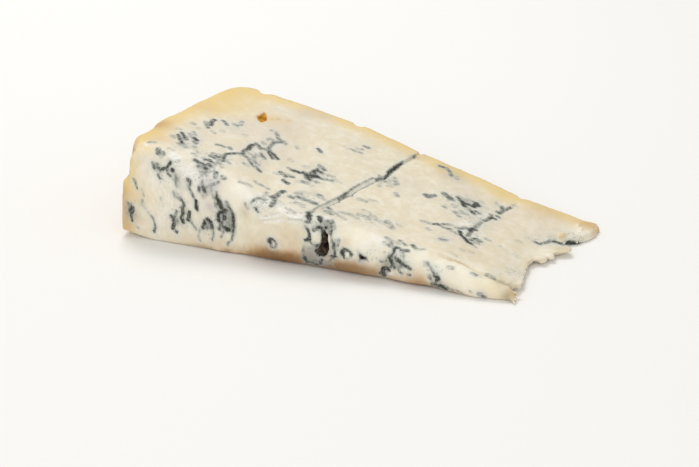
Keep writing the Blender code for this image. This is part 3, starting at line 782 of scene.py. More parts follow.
# %% Strokes on the front wall, from the rind to the arch
FRONT_STROKES = [
    # round the outer corner
    (0.58, 0.65, [(16.5, 35.6), (16.4, 33.9)]), (0.58, 0.60, [(17.9, 34.3), (18.2, 34.2)]),
    (0.36, 0.30, [(17.2, 33.1), (17.3, 32.7)]), (0.55, 0.65, [(13.9, 30.0), (14.6, 28.2)]),
    (0.44, 0.55, [(15.7, 29.9), (16.0, 29.7)]), (0.47, 0.75, [(15.8, 28.8), (16.9, 27.6)]),
    (0.51, 0.85, [(16.9, 27.8), (18.3, 28.6), (19.7, 29.3), (20.5, 30.6), (20.9, 31.4)]),
    (0.44, 0.70, [(19.6, 28.2), (19.7, 27.1), (20.5, 26.1)]), (0.65, 0.85, [(21.5, 28.7), (21.7, 28.3)]),
    (0.47, 0.65, [(16.0, 25.8), (16.5, 24.7), (17.1, 24.5)]), (0.51, 0.40, [(22.8, 26.8), (23.1, 24.6)]),
    (0.47, 0.20, [(23.9, 32.2), (22.7, 31.3)]), (0.44, 0.50, [(6.1, 22.9), (6.6, 21.7), (7.2, 19.3)]),
    (0.44, 0.25, [(9.2, 19.4), (9.4, 17.1)]), (0.40, 0.45, [(9.2, 15.2), (8.6, 13.2)]),
    (0.44, 0.50, [(3.5, 13.1), (3.8, 11.6)]), (0.95, 0.85, [(4.9, 11.6), (4.4, 9.8)]),
    (0.55, 0.75, [(4.4, 9.4), (4.3, 7.8), (4.7, 6.3)]),
    (0.40, 0.35, [(9.9, 12.2), (11.4, 10.5), (12.7, 9.0)]),
    (0.40, 0.55, [(12.7, 9.0), (13.4, 7.3), (13.6, 5.8)]), (0.44, 0.75, [(13.5, 5.4), (13.1, 3.6)]),
    (0.47, 0.30, [(6.5, 4.3), (7.1, 4.0)]), (0.47, 0.30, [(16.5, 17.1), (16.7, 16.4)]),
    (0.51, 0.22, [(17.2, 14.9), (17.1, 13.7)]), (0.55, 0.20, [(2.3, 11.0), (2.3, 7.5)]),
    # the long threads and clusters between the corner and the crescent
    (0.60, 0.60, [(27.4, 25.8), (28.1, 25.2)]),
    (0.47, 0.65, [(28.1, 24.2), (27.8, 22.7), (28.2, 21.6), (29.2, 19.5)]),
    (0.55, 0.95, [(30.2, 18.5), (29.9, 17.3), (30.2, 15.5), (30.6, 14.8)]),
    (0.29, 0.60, [(31.0, 16.8), (30.9, 15.6)]), (0.58, 0.50, [(21.4, 20.0), (21.6, 19.6)]),
    (0.44, 0.30, [(22.9, 19.8), (23.4, 19.5)]), (0.44, 0.45, [(22.0, 18.7), (23.2, 18.0), (24.1, 18.1)]),
    (0.47, 0.75, [(24.1, 18.1), (25.1, 16.9), (25.4, 15.5)]),
    (0.69, 0.75, [(24.6, 14.6), (24.8, 12.3), (24.2, 10.3), (24.9, 9.2)]),
    (0.58, 0.80, [(20.1, 10.8), (21.0, 9.7)]), (0.65, 0.85, [(21.2, 9.6), (21.1, 7.8), (20.6, 6.2)]),
    (0.55, 0.70, [(21.6, 5.2), (22.1, 4.9)]), (0.51, 0.60, [(22.3, 12.9), (21.6, 10.6)]),
    (0.58, 0.55, [(22.1, 9.2), (22.5, 8.4)]), (0.69, 0.85, [(27.4, 13.5), (27.1, 11.5), (26.7, 10.3)]),
    (0.44, 0.50, [(27.8, 10.1), (29.7, 7.3)]), (0.47, 0.75, [(31.5, 23.5), (31.6, 21.8)]),
    (0.47, 0.60, [(32.8, 26.1), (32.9, 24.2)]), (0.55, 0.75, [(32.9, 23.9), (33.4, 23.2), (33.8, 22.3)]),
    (0.47, 0.50, [(33.8, 23.6), (35.4, 24.8), (37.4, 25.6), (39.0, 26.6)]),
    (0.36, 0.45, [(36.2, 24.0), (36.5, 21.8), (36.8, 20.4)]), (0.47, 0.30, [(32.6, 20.4), (32.9, 19.7)]),
    # the crescent and the blob beside it
    (0.44, 0.75, [(38.1, 22.9), (38.2, 21.0)]),
    (0.47, 0.90, [(38.2, 20.8), (39.1, 20.0), (39.9, 19.0), (40.4, 18.0)]),
    (0.65, 0.40, [(38.0, 19.8), (37.8, 17.2)]), (0.58, 0.50, [(42.0, 19.8), (42.8, 18.4)]),
    (0.58, 0.80, [(42.6, 18.2), (43.3, 17.6)]), (0.51, 0.65, [(43.3, 17.4), (44.1, 16.6), (44.6, 15.4)]),
    (0.55, 0.85, [(44.6, 15.4), (44.7, 13.5), (44.5, 11.5)]), (0.51, 0.80, [(44.5, 11.1), (44.4, 9.0)]),
    (0.69, 1.00, [(41.3, 16.4), (39.7, 15.6), (38.7, 14.5), (38.6, 12.3)]),
    (0.87, 0.85, [(40.7, 15.4), (40.8, 13.5)]), (1.24, 0.42, [(42.7, 15.7), (43.0, 13.1), (42.9, 10.8)]),
    (0.55, 0.70, [(39.8, 11.8), (39.3, 10.2), (38.7, 8.9)]), (0.62, 0.95, [(41.7, 9.3), (42.7, 10.0)]),
    (0.65, 0.45, [(43.9, 12.2), (44.0, 9.9)]), (0.65, 0.80, [(33.7, 11.3), (32.5, 9.3), (32.4, 8.2)]),
    (0.65, 0.85, [(34.7, 11.8), (35.8, 10.7), (36.0, 8.8)]), (0.87, 0.60, [(34.1, 10.4), (34.0, 8.8)]),
    # the arch over the smears
    (0.73, 0.30, [(49.4, 20.6), (50.6, 19.4)]),
    (0.44, 0.55, [(51.9, 21.6), (53.2, 22.8), (54.9, 24.1), (56.4, 24.1), (57.2, 23.9)]),
    (0.44, 0.65, [(53.5, 20.1), (54.7, 18.9)]), (0.36, 0.35, [(57.2, 24.2), (57.4, 25.8), (58.4, 26.8)]),
    (0.73, 0.20, [(54.8, 22.3), (56.4, 21.8)]),
    # lower down the crescent's mould carries on towards the foot, thinner
    (0.45, 0.55, [(44.2, 7.6), (43.4, 5.4), (41.8, 3.6)]),
    (0.45, 0.50, [(36.0, 8.8), (36.6, 6.4), (35.8, 4.2)]),
    (0.40, 0.40, [(31.4, 7.8), (30.4, 5.2), (31.2, 3.0)]), (0.45, 0.45, [(40.6, 8.6), (39.4, 6.0)]),
]

# %% Strokes on the front wall, from the slot to the tail
FRONT_STROKES += [
    # the dense black middle of the crescent
    (0.80, 1.00, [(38.6, 20.2), (39.3, 18.7), (39.9, 17.6)]), (0.75, 1.00, [(40.6, 16.7), (41.1, 15.4)]),
    (0.50, 0.90, [(40.6, 14.2), (41.5, 13.2)]), (0.55, 0.80, [(38.8, 15.0), (38.3, 13.0)]),
    (0.55, 1.00, [(44.0, 15.6), (44.5, 12.7), (44.2, 9.4)]), (0.60, 0.95, [(40.8, 10.0), (43.0, 9.2)]),
    (0.35, 0.50, [(22.3, 24.9), (23.0, 22.7)]), (0.30, 0.35, [(9.2, 19.0), (9.8, 16.8)]),
    (0.50, 0.90, [(86.1, 9.5), (85.8, 8.3), (86.3, 7.2)]), (0.60, 0.80, [(103.6, 8.0), (104.3, 6.8)]),
    (0.60, 0.90, [(120.6, 2.6), (121.8, 1.8)]), (0.40, 0.50, [(123.2, 2.2), (124.8, 1.6)]),
    (0.60, 0.80, [(71.6, 4.8), (72.4, 3.0)]), (0.50, 0.70, [(75.2, 15.6), (76.2, 16.2)]),
    # the slot's foot, and the stains beside it, under the arch and along the tail
    (1.00, 1.00, [(77.8, 8.8), (76.6, 8.2)]), (0.50, 0.90, [(76.0, 9.6), (76.8, 10.0)]),
    (0.45, 0.90, [(79.4, 17.3), (79.8, 17.3)]), (0.70, 0.45, [(78.3, 19.1), (80.2, 19.2), (81.2, 18.6)]),
    (0.60, 0.45, [(81.8, 20.0), (82.5, 17.6)]), (0.35, 0.60, [(73.0, 2.6), (75.4, 1.9), (77.4, 2.0)]),
    (0.35, 0.50, [(72.6, 4.4), (74.6, 3.9), (76.8, 4.2)]),
    (0.30, 0.45, [(79.4, 3.2), (81.2, 5.4), (82.8, 6.4)]),
    (0.50, 0.60, [(71.8, 6.4), (71.4, 5.0)]),
    # painted shade: shallow grey lines in the valleys between the smears
    (0.18, 0.22, [(56.7, 17.5), (61.0, 19.3), (63.1, 20.1), (66.0, 20.4)]),
    (0.18, 0.22, [(53.8, 15.8), (57.7, 16.3), (61.0, 17.3), (62.8, 18.1)]),
    (0.25, 0.45, [(66.0, 21.5), (67.8, 21.1), (70.0, 21.2)]),
    (0.20, 0.30, [(66.0, 18.1), (68.9, 18.5), (71.2, 18.7)]),
    (0.45, 0.45, [(84.5, 13.4), (84.1, 11.5)]), (0.80, 0.90, [(101.0, 6.0), (100.3, 4.8), (99.8, 3.6)]),
    (0.50, 0.55, [(102.7, 6.3), (103.4, 7.4)]), (0.60, 0.75, [(118.6, 2.9), (120.4, 2.1)]),
    (0.50, 0.60, [(120.8, 2.0), (122.8, 2.3)]), (0.50, 0.55, [(116.3, 5.8), (116.8, 4.6)]),
    # round the slot
    (0.84, 0.95, [(73.5, 21.3), (73.8, 19.7)]), (0.47, 0.50, [(72.3, 18.3), (74.3, 18.1)]),
    (0.44, 0.50, [(72.1, 16.6), (72.9, 15.6)]),
    (0.51, 0.80, [(72.9, 15.6), (73.4, 14.6), (73.7, 13.1), (73.7, 12.0)]),
    (0.51, 0.90, [(72.1, 11.4), (73.5, 11.8)]), (0.33, 0.60, [(73.9, 10.9), (74.8, 9.9)]),
    (0.29, 0.45, [(75.3, 10.0), (76.8, 10.3)]), (0.40, 0.50, [(71.9, 8.9), (71.1, 7.0), (71.6, 5.2)]),
    (0.40, 0.75, [(72.0, 4.9), (72.7, 3.7)]), (0.36, 0.50, [(72.4, 8.7), (73.9, 8.5)]),
    (0.73, 0.80, [(77.4, 20.8), (77.8, 19.2)]), (0.58, 0.65, [(79.4, 19.1), (80.5, 19.6), (81.4, 18.9)]),
    (0.62, 0.60, [(81.6, 18.3), (81.6, 17.0), (81.2, 15.5)]), (0.40, 0.85, [(79.4, 17.2), (79.8, 17.1)]),
    (0.44, 0.80, [(76.5, 16.9), (78.0, 17.0)]), (0.44, 0.85, [(78.0, 16.6), (78.3, 15.4)]),
    (0.80, 1.00, [(78.7, 15.9), (78.7, 14.1), (78.9, 11.8)]), (1.09, 1.00, [(78.8, 10.2), (79.4, 8.5)]),
    (1.16, 1.00, [(77.7, 7.2), (78.6, 8.5)]), (0.36, 0.40, [(81.6, 14.8), (81.9, 13.4), (82.0, 11.5)]),
    (0.58, 0.75, [(82.6, 11.6), (82.5, 10.1)]), (0.47, 0.50, [(83.6, 13.2), (84.0, 13.0)]),
    (0.44, 0.70, [(82.9, 9.4), (82.9, 7.6)]), (0.44, 0.75, [(81.5, 6.9), (83.7, 7.2)]),
    (0.47, 0.70, [(72.5, 3.9), (73.4, 3.1), (74.9, 3.5)]), (0.47, 0.75, [(74.9, 3.0), (76.7, 2.9)]),
    (0.51, 0.80, [(77.7, 3.3), (78.1, 5.0)]),
    # needle holes, each with a dark thread round it
    (0.36, 0.80, [(58.1, 9.0), (58.9, 9.6), (60.0, 9.5), (60.9, 8.9)]),
    (0.44, 0.65, [(60.9, 8.9), (61.4, 8.0), (60.9, 6.8)]),
    (0.36, 0.70, [(60.5, 6.4), (59.6, 6.4), (59.0, 7.1)]), (0.62, 0.90, [(58.7, 8.7), (59.2, 8.1)]),
    (0.65, 0.95, [(85.3, 9.1), (85.5, 8.7)]), (0.44, 0.85, [(85.5, 9.6), (86.6, 10.2), (87.7, 10.0)]),
    (0.47, 0.75, [(88.4, 9.6), (89.0, 8.8), (88.6, 8.0)]), (0.36, 0.40, [(85.9, 7.4), (86.6, 7.1)]),
    (0.36, 0.40, [(87.3, 7.1), (88.2, 7.4)]), (0.58, 0.95, [(92.2, 8.8), (92.4, 7.9), (93.6, 8.4)]),
    (0.36, 0.35, [(91.1, 10.4), (91.7, 9.4)]), (0.29, 0.35, [(94.2, 8.4), (94.7, 7.3)]),
    (0.36, 0.50, [(91.7, 7.2), (91.8, 6.5)]),
    # the cleft and its forked thread
    (0.33, 0.50, [(101.2, 17.1), (102.3, 16.8), (103.0, 16.0), (103.2, 15.1)]),
    (0.44, 0.55, [(102.4, 14.6), (102.7, 14.3)]), (0.33, 0.30, [(100.5, 15.2), (101.1, 14.7)]),
    (0.33, 0.35, [(103.7, 16.3), (105.1, 15.9), (105.8, 15.5)]),
    (0.44, 0.80, [(103.2, 10.3), (103.4, 11.2), (104.1, 12.3)]),
    (0.40, 0.85, [(104.1, 12.5), (104.1, 13.4), (104.8, 14.0)]),
    (0.33, 0.70, [(104.8, 14.0), (105.7, 13.8), (106.5, 13.3)]),
    (0.29, 0.65, [(106.5, 13.3), (109.0, 13.6)]), (0.33, 0.35, [(107.3, 12.8), (107.6, 10.3)]),
    (0.44, 0.70, [(104.5, 10.3), (105.0, 9.8)]), (0.69, 0.85, [(105.5, 9.5), (106.2, 8.9)]),
    (0.58, 0.90, [(107.0, 8.3), (107.7, 8.1)]), (0.44, 0.75, [(108.0, 7.9), (110.0, 7.0)]),
    (0.65, 0.90, [(102.5, 10.0), (103.1, 8.8), (103.5, 7.9)]),
    (0.36, 0.45, [(99.0, 8.1), (99.9, 7.8), (101.3, 8.5)]),
    (0.65, 0.80, [(100.1, 6.0), (100.3, 4.9), (100.6, 3.3)]), (0.58, 0.90, [(101.8, 5.7), (102.4, 5.3)]),
    (0.73, 0.85, [(100.5, 3.8), (100.8, 3.1)]), (0.44, 0.60, [(105.6, 6.6), (105.9, 5.5), (106.7, 4.9)]),
    (0.36, 0.40, [(107.0, 5.0), (107.7, 5.1)]), (0.40, 0.60, [(109.1, 4.9), (109.9, 4.7)]),
    (0.36, 0.50, [(106.3, 7.1), (107.3, 7.6)]), (0.36, 0.50, [(106.1, 16.7), (108.3, 15.5)]),
    (0.44, 0.65, [(110.5, 15.9), (111.8, 14.7)]), (0.25, 0.30, [(111.8, 14.5), (114.9, 15.2)]),
    # the thread down the side of the tail
    (0.44, 0.35, [(114.7, 10.2), (114.8, 9.3)]),
    (0.44, 0.60, [(115.7, 10.2), (116.8, 8.9), (117.9, 7.2)]), (0.40, 0.60, [(118.2, 6.9), (119.3, 6.9)]),
    (0.44, 0.75, [(117.9, 5.7), (119.6, 5.5), (120.0, 5.0)]), (0.51, 0.85, [(119.0, 4.4), (119.7, 4.7)]),
    (0.40, 0.60, [(119.0, 3.7), (117.6, 2.7)]), (0.62, 0.85, [(120.1, 2.4), (121.5, 2.3), (122.5, 1.7)]),
    (0.60, 0.50, [(118.0, 2.2), (120.0, 1.7)]), (0.50, 0.35, [(123.0, 9.8), (124.6, 9.8)]),
    (0.50, 0.45, [(131.4, 9.0), (132.9, 8.5)]), (0.40, 0.20, [(133.0, 8.3), (136.0, 8.0)]),
    (0.60, 0.40, [(136.4, 8.7), (138.2, 7.7)]), (0.60, 0.60, [(133.7, 1.9), (135.6, 0.9)]),
    (0.40, 0.40, [(126.0, 1.8), (128.2, 1.1)]), (0.40, 0.25, [(130.6, 2.4), (131.6, 2.1)]),
]
print(len(TOP_STROKES) + len(FRONT_STROKES), "strokes of mould")

# %% White ridges: young mould beside the threads, and painted highlights along the smears that the wire rubbed up
WHITE_ON_TOP = [
    (0.90, 0.70, [(119.8, 23.9), (121.2, 23.0)]), (0.61, 0.90, [(123.5, 23.7), (125.1, 24.5)]),
    (0.80, 0.40, [(46.2, 37.4), (46.3, 33.6)]), (0.45, 0.70, [(41.5, 26.6), (42.1, 26.9)]),
    (0.57, 0.60, [(33.9, 19.4), (35.2, 20.8)]), (0.90, 0.50, [(116.1, 27.8), (119.4, 31.4)]),
    (1.02, 0.40, [(121.9, 42.7), (121.1, 37.9)]), (0.30, 0.80, [(79.0, 26.0), (80.8, 33.0), (82.6, 38.0)]),
    (0.25, 0.60, [(73.6, 9.0), (75.0, 14.0), (77.0, 19.0)]),
]
WHITE_ON_FRONT = [
    (0.58, 0.95, [(40.5, 19.7), (41.8, 18.2)]), (0.87, 1.00, [(79.1, 20.9), (80.9, 20.6)]),
    (0.73, 0.70, [(82.0, 19.3), (83.0, 19.7)]), (0.55, 0.90, [(73.2, 16.8), (74.9, 16.9)]),
    (0.76, 0.90, [(105.5, 11.6), (105.7, 10.9)]), (0.80, 0.60, [(37.7, 12.2), (37.8, 11.0)]),
    (0.65, 0.80, [(101.7, 4.4), (103.1, 4.3)]), (1.02, 0.70, [(34.0, 26.7), (37.1, 26.6)]),
    (1.09, 0.70, [(37.2, 29.4), (37.5, 28.4)]), (1.45, 0.80, [(28.3, 29.2), (29.7, 26.7)]),
    (1.09, 0.80, [(21.7, 34.1), (23.1, 33.2)]), (0.51, 0.70, [(11.7, 36.4), (12.9, 37.0)]),
    (0.44, 0.70, [(21.7, 26.6), (22.0, 25.9)]), (0.73, 0.60, [(58.3, 24.8), (58.5, 23.7)]),
    (0.87, 0.60, [(54.4, 22.0), (56.7, 21.9)]),
    # painted highlights along the crests of the smears
    (0.34, 1.00, [(55.6, 16.9), (58.4, 17.5), (61.0, 18.3), (63.1, 19.3)]),
    (0.34, 1.00, [(57.5, 15.6), (60.4, 16.4), (63.6, 17.3)]),
    (0.35, 0.90, [(63.6, 20.4), (66.3, 19.6), (68.9, 19.3)]),
    (0.30, 0.80, [(68.9, 19.3), (71.5, 19.7)]), (0.25, 0.70, [(62.7, 21.2), (66.0, 22.2), (68.9, 22.0)]),
    (0.25, 0.60, [(65.6, 17.2), (69.0, 17.4), (71.6, 17.6)]),
    (0.95, 0.35, [(75.2, 15.2), (75.0, 12.2)]),
    (0.45, 0.60, [(87.2, 8.4), (87.6, 8.1)]), (1.16, 0.60, [(97.7, 16.4), (99.8, 14.9)]),
    (0.73, 0.50, [(92.7, 12.6), (95.9, 15.3)]),
]
CLEAN_ON_TOP = [  # bare paste between the long channel's lips
    (0.32, 1.00, [(82.2, 37.6), (80.9, 33.4), (79.9, 30.0), (79.1, 27.0), (78.4, 23.6)]),
    (0.22, 0.90, [(76.4, 15.8), (75.2, 12.4), (73.8, 9.0), (72.8, 5.6)]),
    (0.70, 1.00, [(149.9, 44.8), (149.8, 47.4)]),
]

# %% [markdown]
# ### Pressing the strokes on to the surface
# A stroke is drawn on the straight cut, but the real surface rolls and dips. So each of its points
# slides along the camera's line of sight until it meets the field's surface. After that a vertex
# only has to know how far it is from the nearest stroke.

# %% Settle every stroke


def fine_line(path, longest=1.0):
    """The path with more points on it, none further apart than this."""
    path = np.array(path, float)
    made = [path[:1]]
    for start, end in zip(path, path[1:]):
        count = max(1, math.ceil(np.linalg.norm(end - start) / longest))
        made.append(start + (end - start) * np.linspace(0, 1, count + 1)[1:, None])
    return np.concatenate(made)


def lay_down(strokes, on_front):
    """The strokes as (half width, darkness, points in space), pressed on to the surface."""
    laid = []
    for width, dark, path in strokes:
        line = fine_line(path)
        if on_front:
            spots = np.column_stack([line[:, 0], along(FRONT_FOOT, line[:, 0]), line[:, 1]])
        else:
            spots = np.column_stack([line, top_height(line[:, 0], line[:, 1])])
        laid.append((width, dark, settle(spots)))
    return laid


strokes = lay_down(TOP_STROKES, False) + lay_down(FRONT_STROKES, True)
ridges = lay_down(WHITE_ON_TOP, False) + lay_down(WHITE_ON_FRONT, True)
# The underside is the slice's other cut. Nothing shows of it, so it has marbling of the same kind:
# the upper cut's, turned over, drawn together a little and flat on the board.
UNDER_SHARE_X, UNDER_SHARE_Y, UNDER_SHIFT, UNDER_WIDER = 0.93, 0.85, 4, 1.3
under_strokes = []
for width, dark, path in TOP_STROKES:
    x, y = fine_line(path).T
    turned_x = UNDER_SHARE_X * x + UNDER_SHIFT
    turned_y = UNDER_SHARE_Y * (along(BACK_WALL, x) - y) + UNDER_SHIFT
    under_strokes.append((UNDER_WIDER * width, dark, np.column_stack([turned_x, turned_y, 0 * x])))
print("strokes settled")

# %% [markdown]
# ### What each vertex knows
# The materials read numbers that every vertex carries: the distance to the nearest thread of mould
# and how dark it is, the haze round the threads, how deep the place lies under the rind, and soft
# patches of tan, cream, olive and lilac. Distances blend cleanly between vertices, so a thread can
# have an edge much sharper than the mesh.

# %% Distances from the strokes
FAR = 6.0


def line_distance(spots, line):
    """The distance from each spot to a line of close points, and its stretches between them."""
    nearest = np.full(len(spots), 1e3)
    for start, end in zip(line, line[1:]) if len(line) > 1 else [(line[0], line[0] + 1e-3)]:
        step = end - start
        t = np.clip((spots - start) @ step / (step @ step), 0, 1)
        nearest = np.minimum(nearest, np.linalg.norm(spots - start - t[:, None] * step, axis=1))
    return nearest


def near_line(line, reach, among=True):
    """The vertices within this reach of a line, and how far each is from it."""
    near = ((points > line.min(0) - reach) & (points < line.max(0) + reach)).all(1)
    near = np.flatnonzero(near & among)
    return near, line_distance(points[near], line)


vein = np.full(len(points), FAR)
ink = np.zeros(len(points))
bloom = np.zeros(len(points))
crowd = np.zeros(len(points))  # grows where several threads lie close together
all_strokes = [(*stroke, True) for stroke in strokes] + [(*stroke, is_under) for stroke in under_strokes]
for width, dark, line, among in all_strokes:
    near, away = near_line(line, FAR, among)
    away = away - width
    blend = smooth((vein[near] - away) / 0.8 + 0.5)
    ink[near] = ink[near] * (1 - blend) + dark * blend
    vein[near] = np.minimum(vein[near], away)
    bloom[near] = np.maximum(bloom[near], dark * np.exp(-np.maximum(away, 0) / 1.6))
    share = 0.5 * dark * np.exp(-((np.maximum(away, 0) / 0.9) ** 2))
    crowd[near] = 1 - (1 - crowd[near]) * (1 - share)


def soft_lines(lines):
    """How far each vertex is covered by these lines, which have soft edges."""
    cover = np.zeros(len(points))
    for width, strength, line in lines:
        near, away = near_line(line, 4)
        spread = strength * smooth(0.85 - (away - width) / (0.45 + 0.8 * width))
        cover[near] = np.maximum(cover[near], spread)
    return cover


ridge = soft_lines(ridges)
cleaned = soft_lines(lay_down(CLEAN_ON_TOP, False))
print("vertices under mould:", int((vein < 0).sum()), "of", len(points))

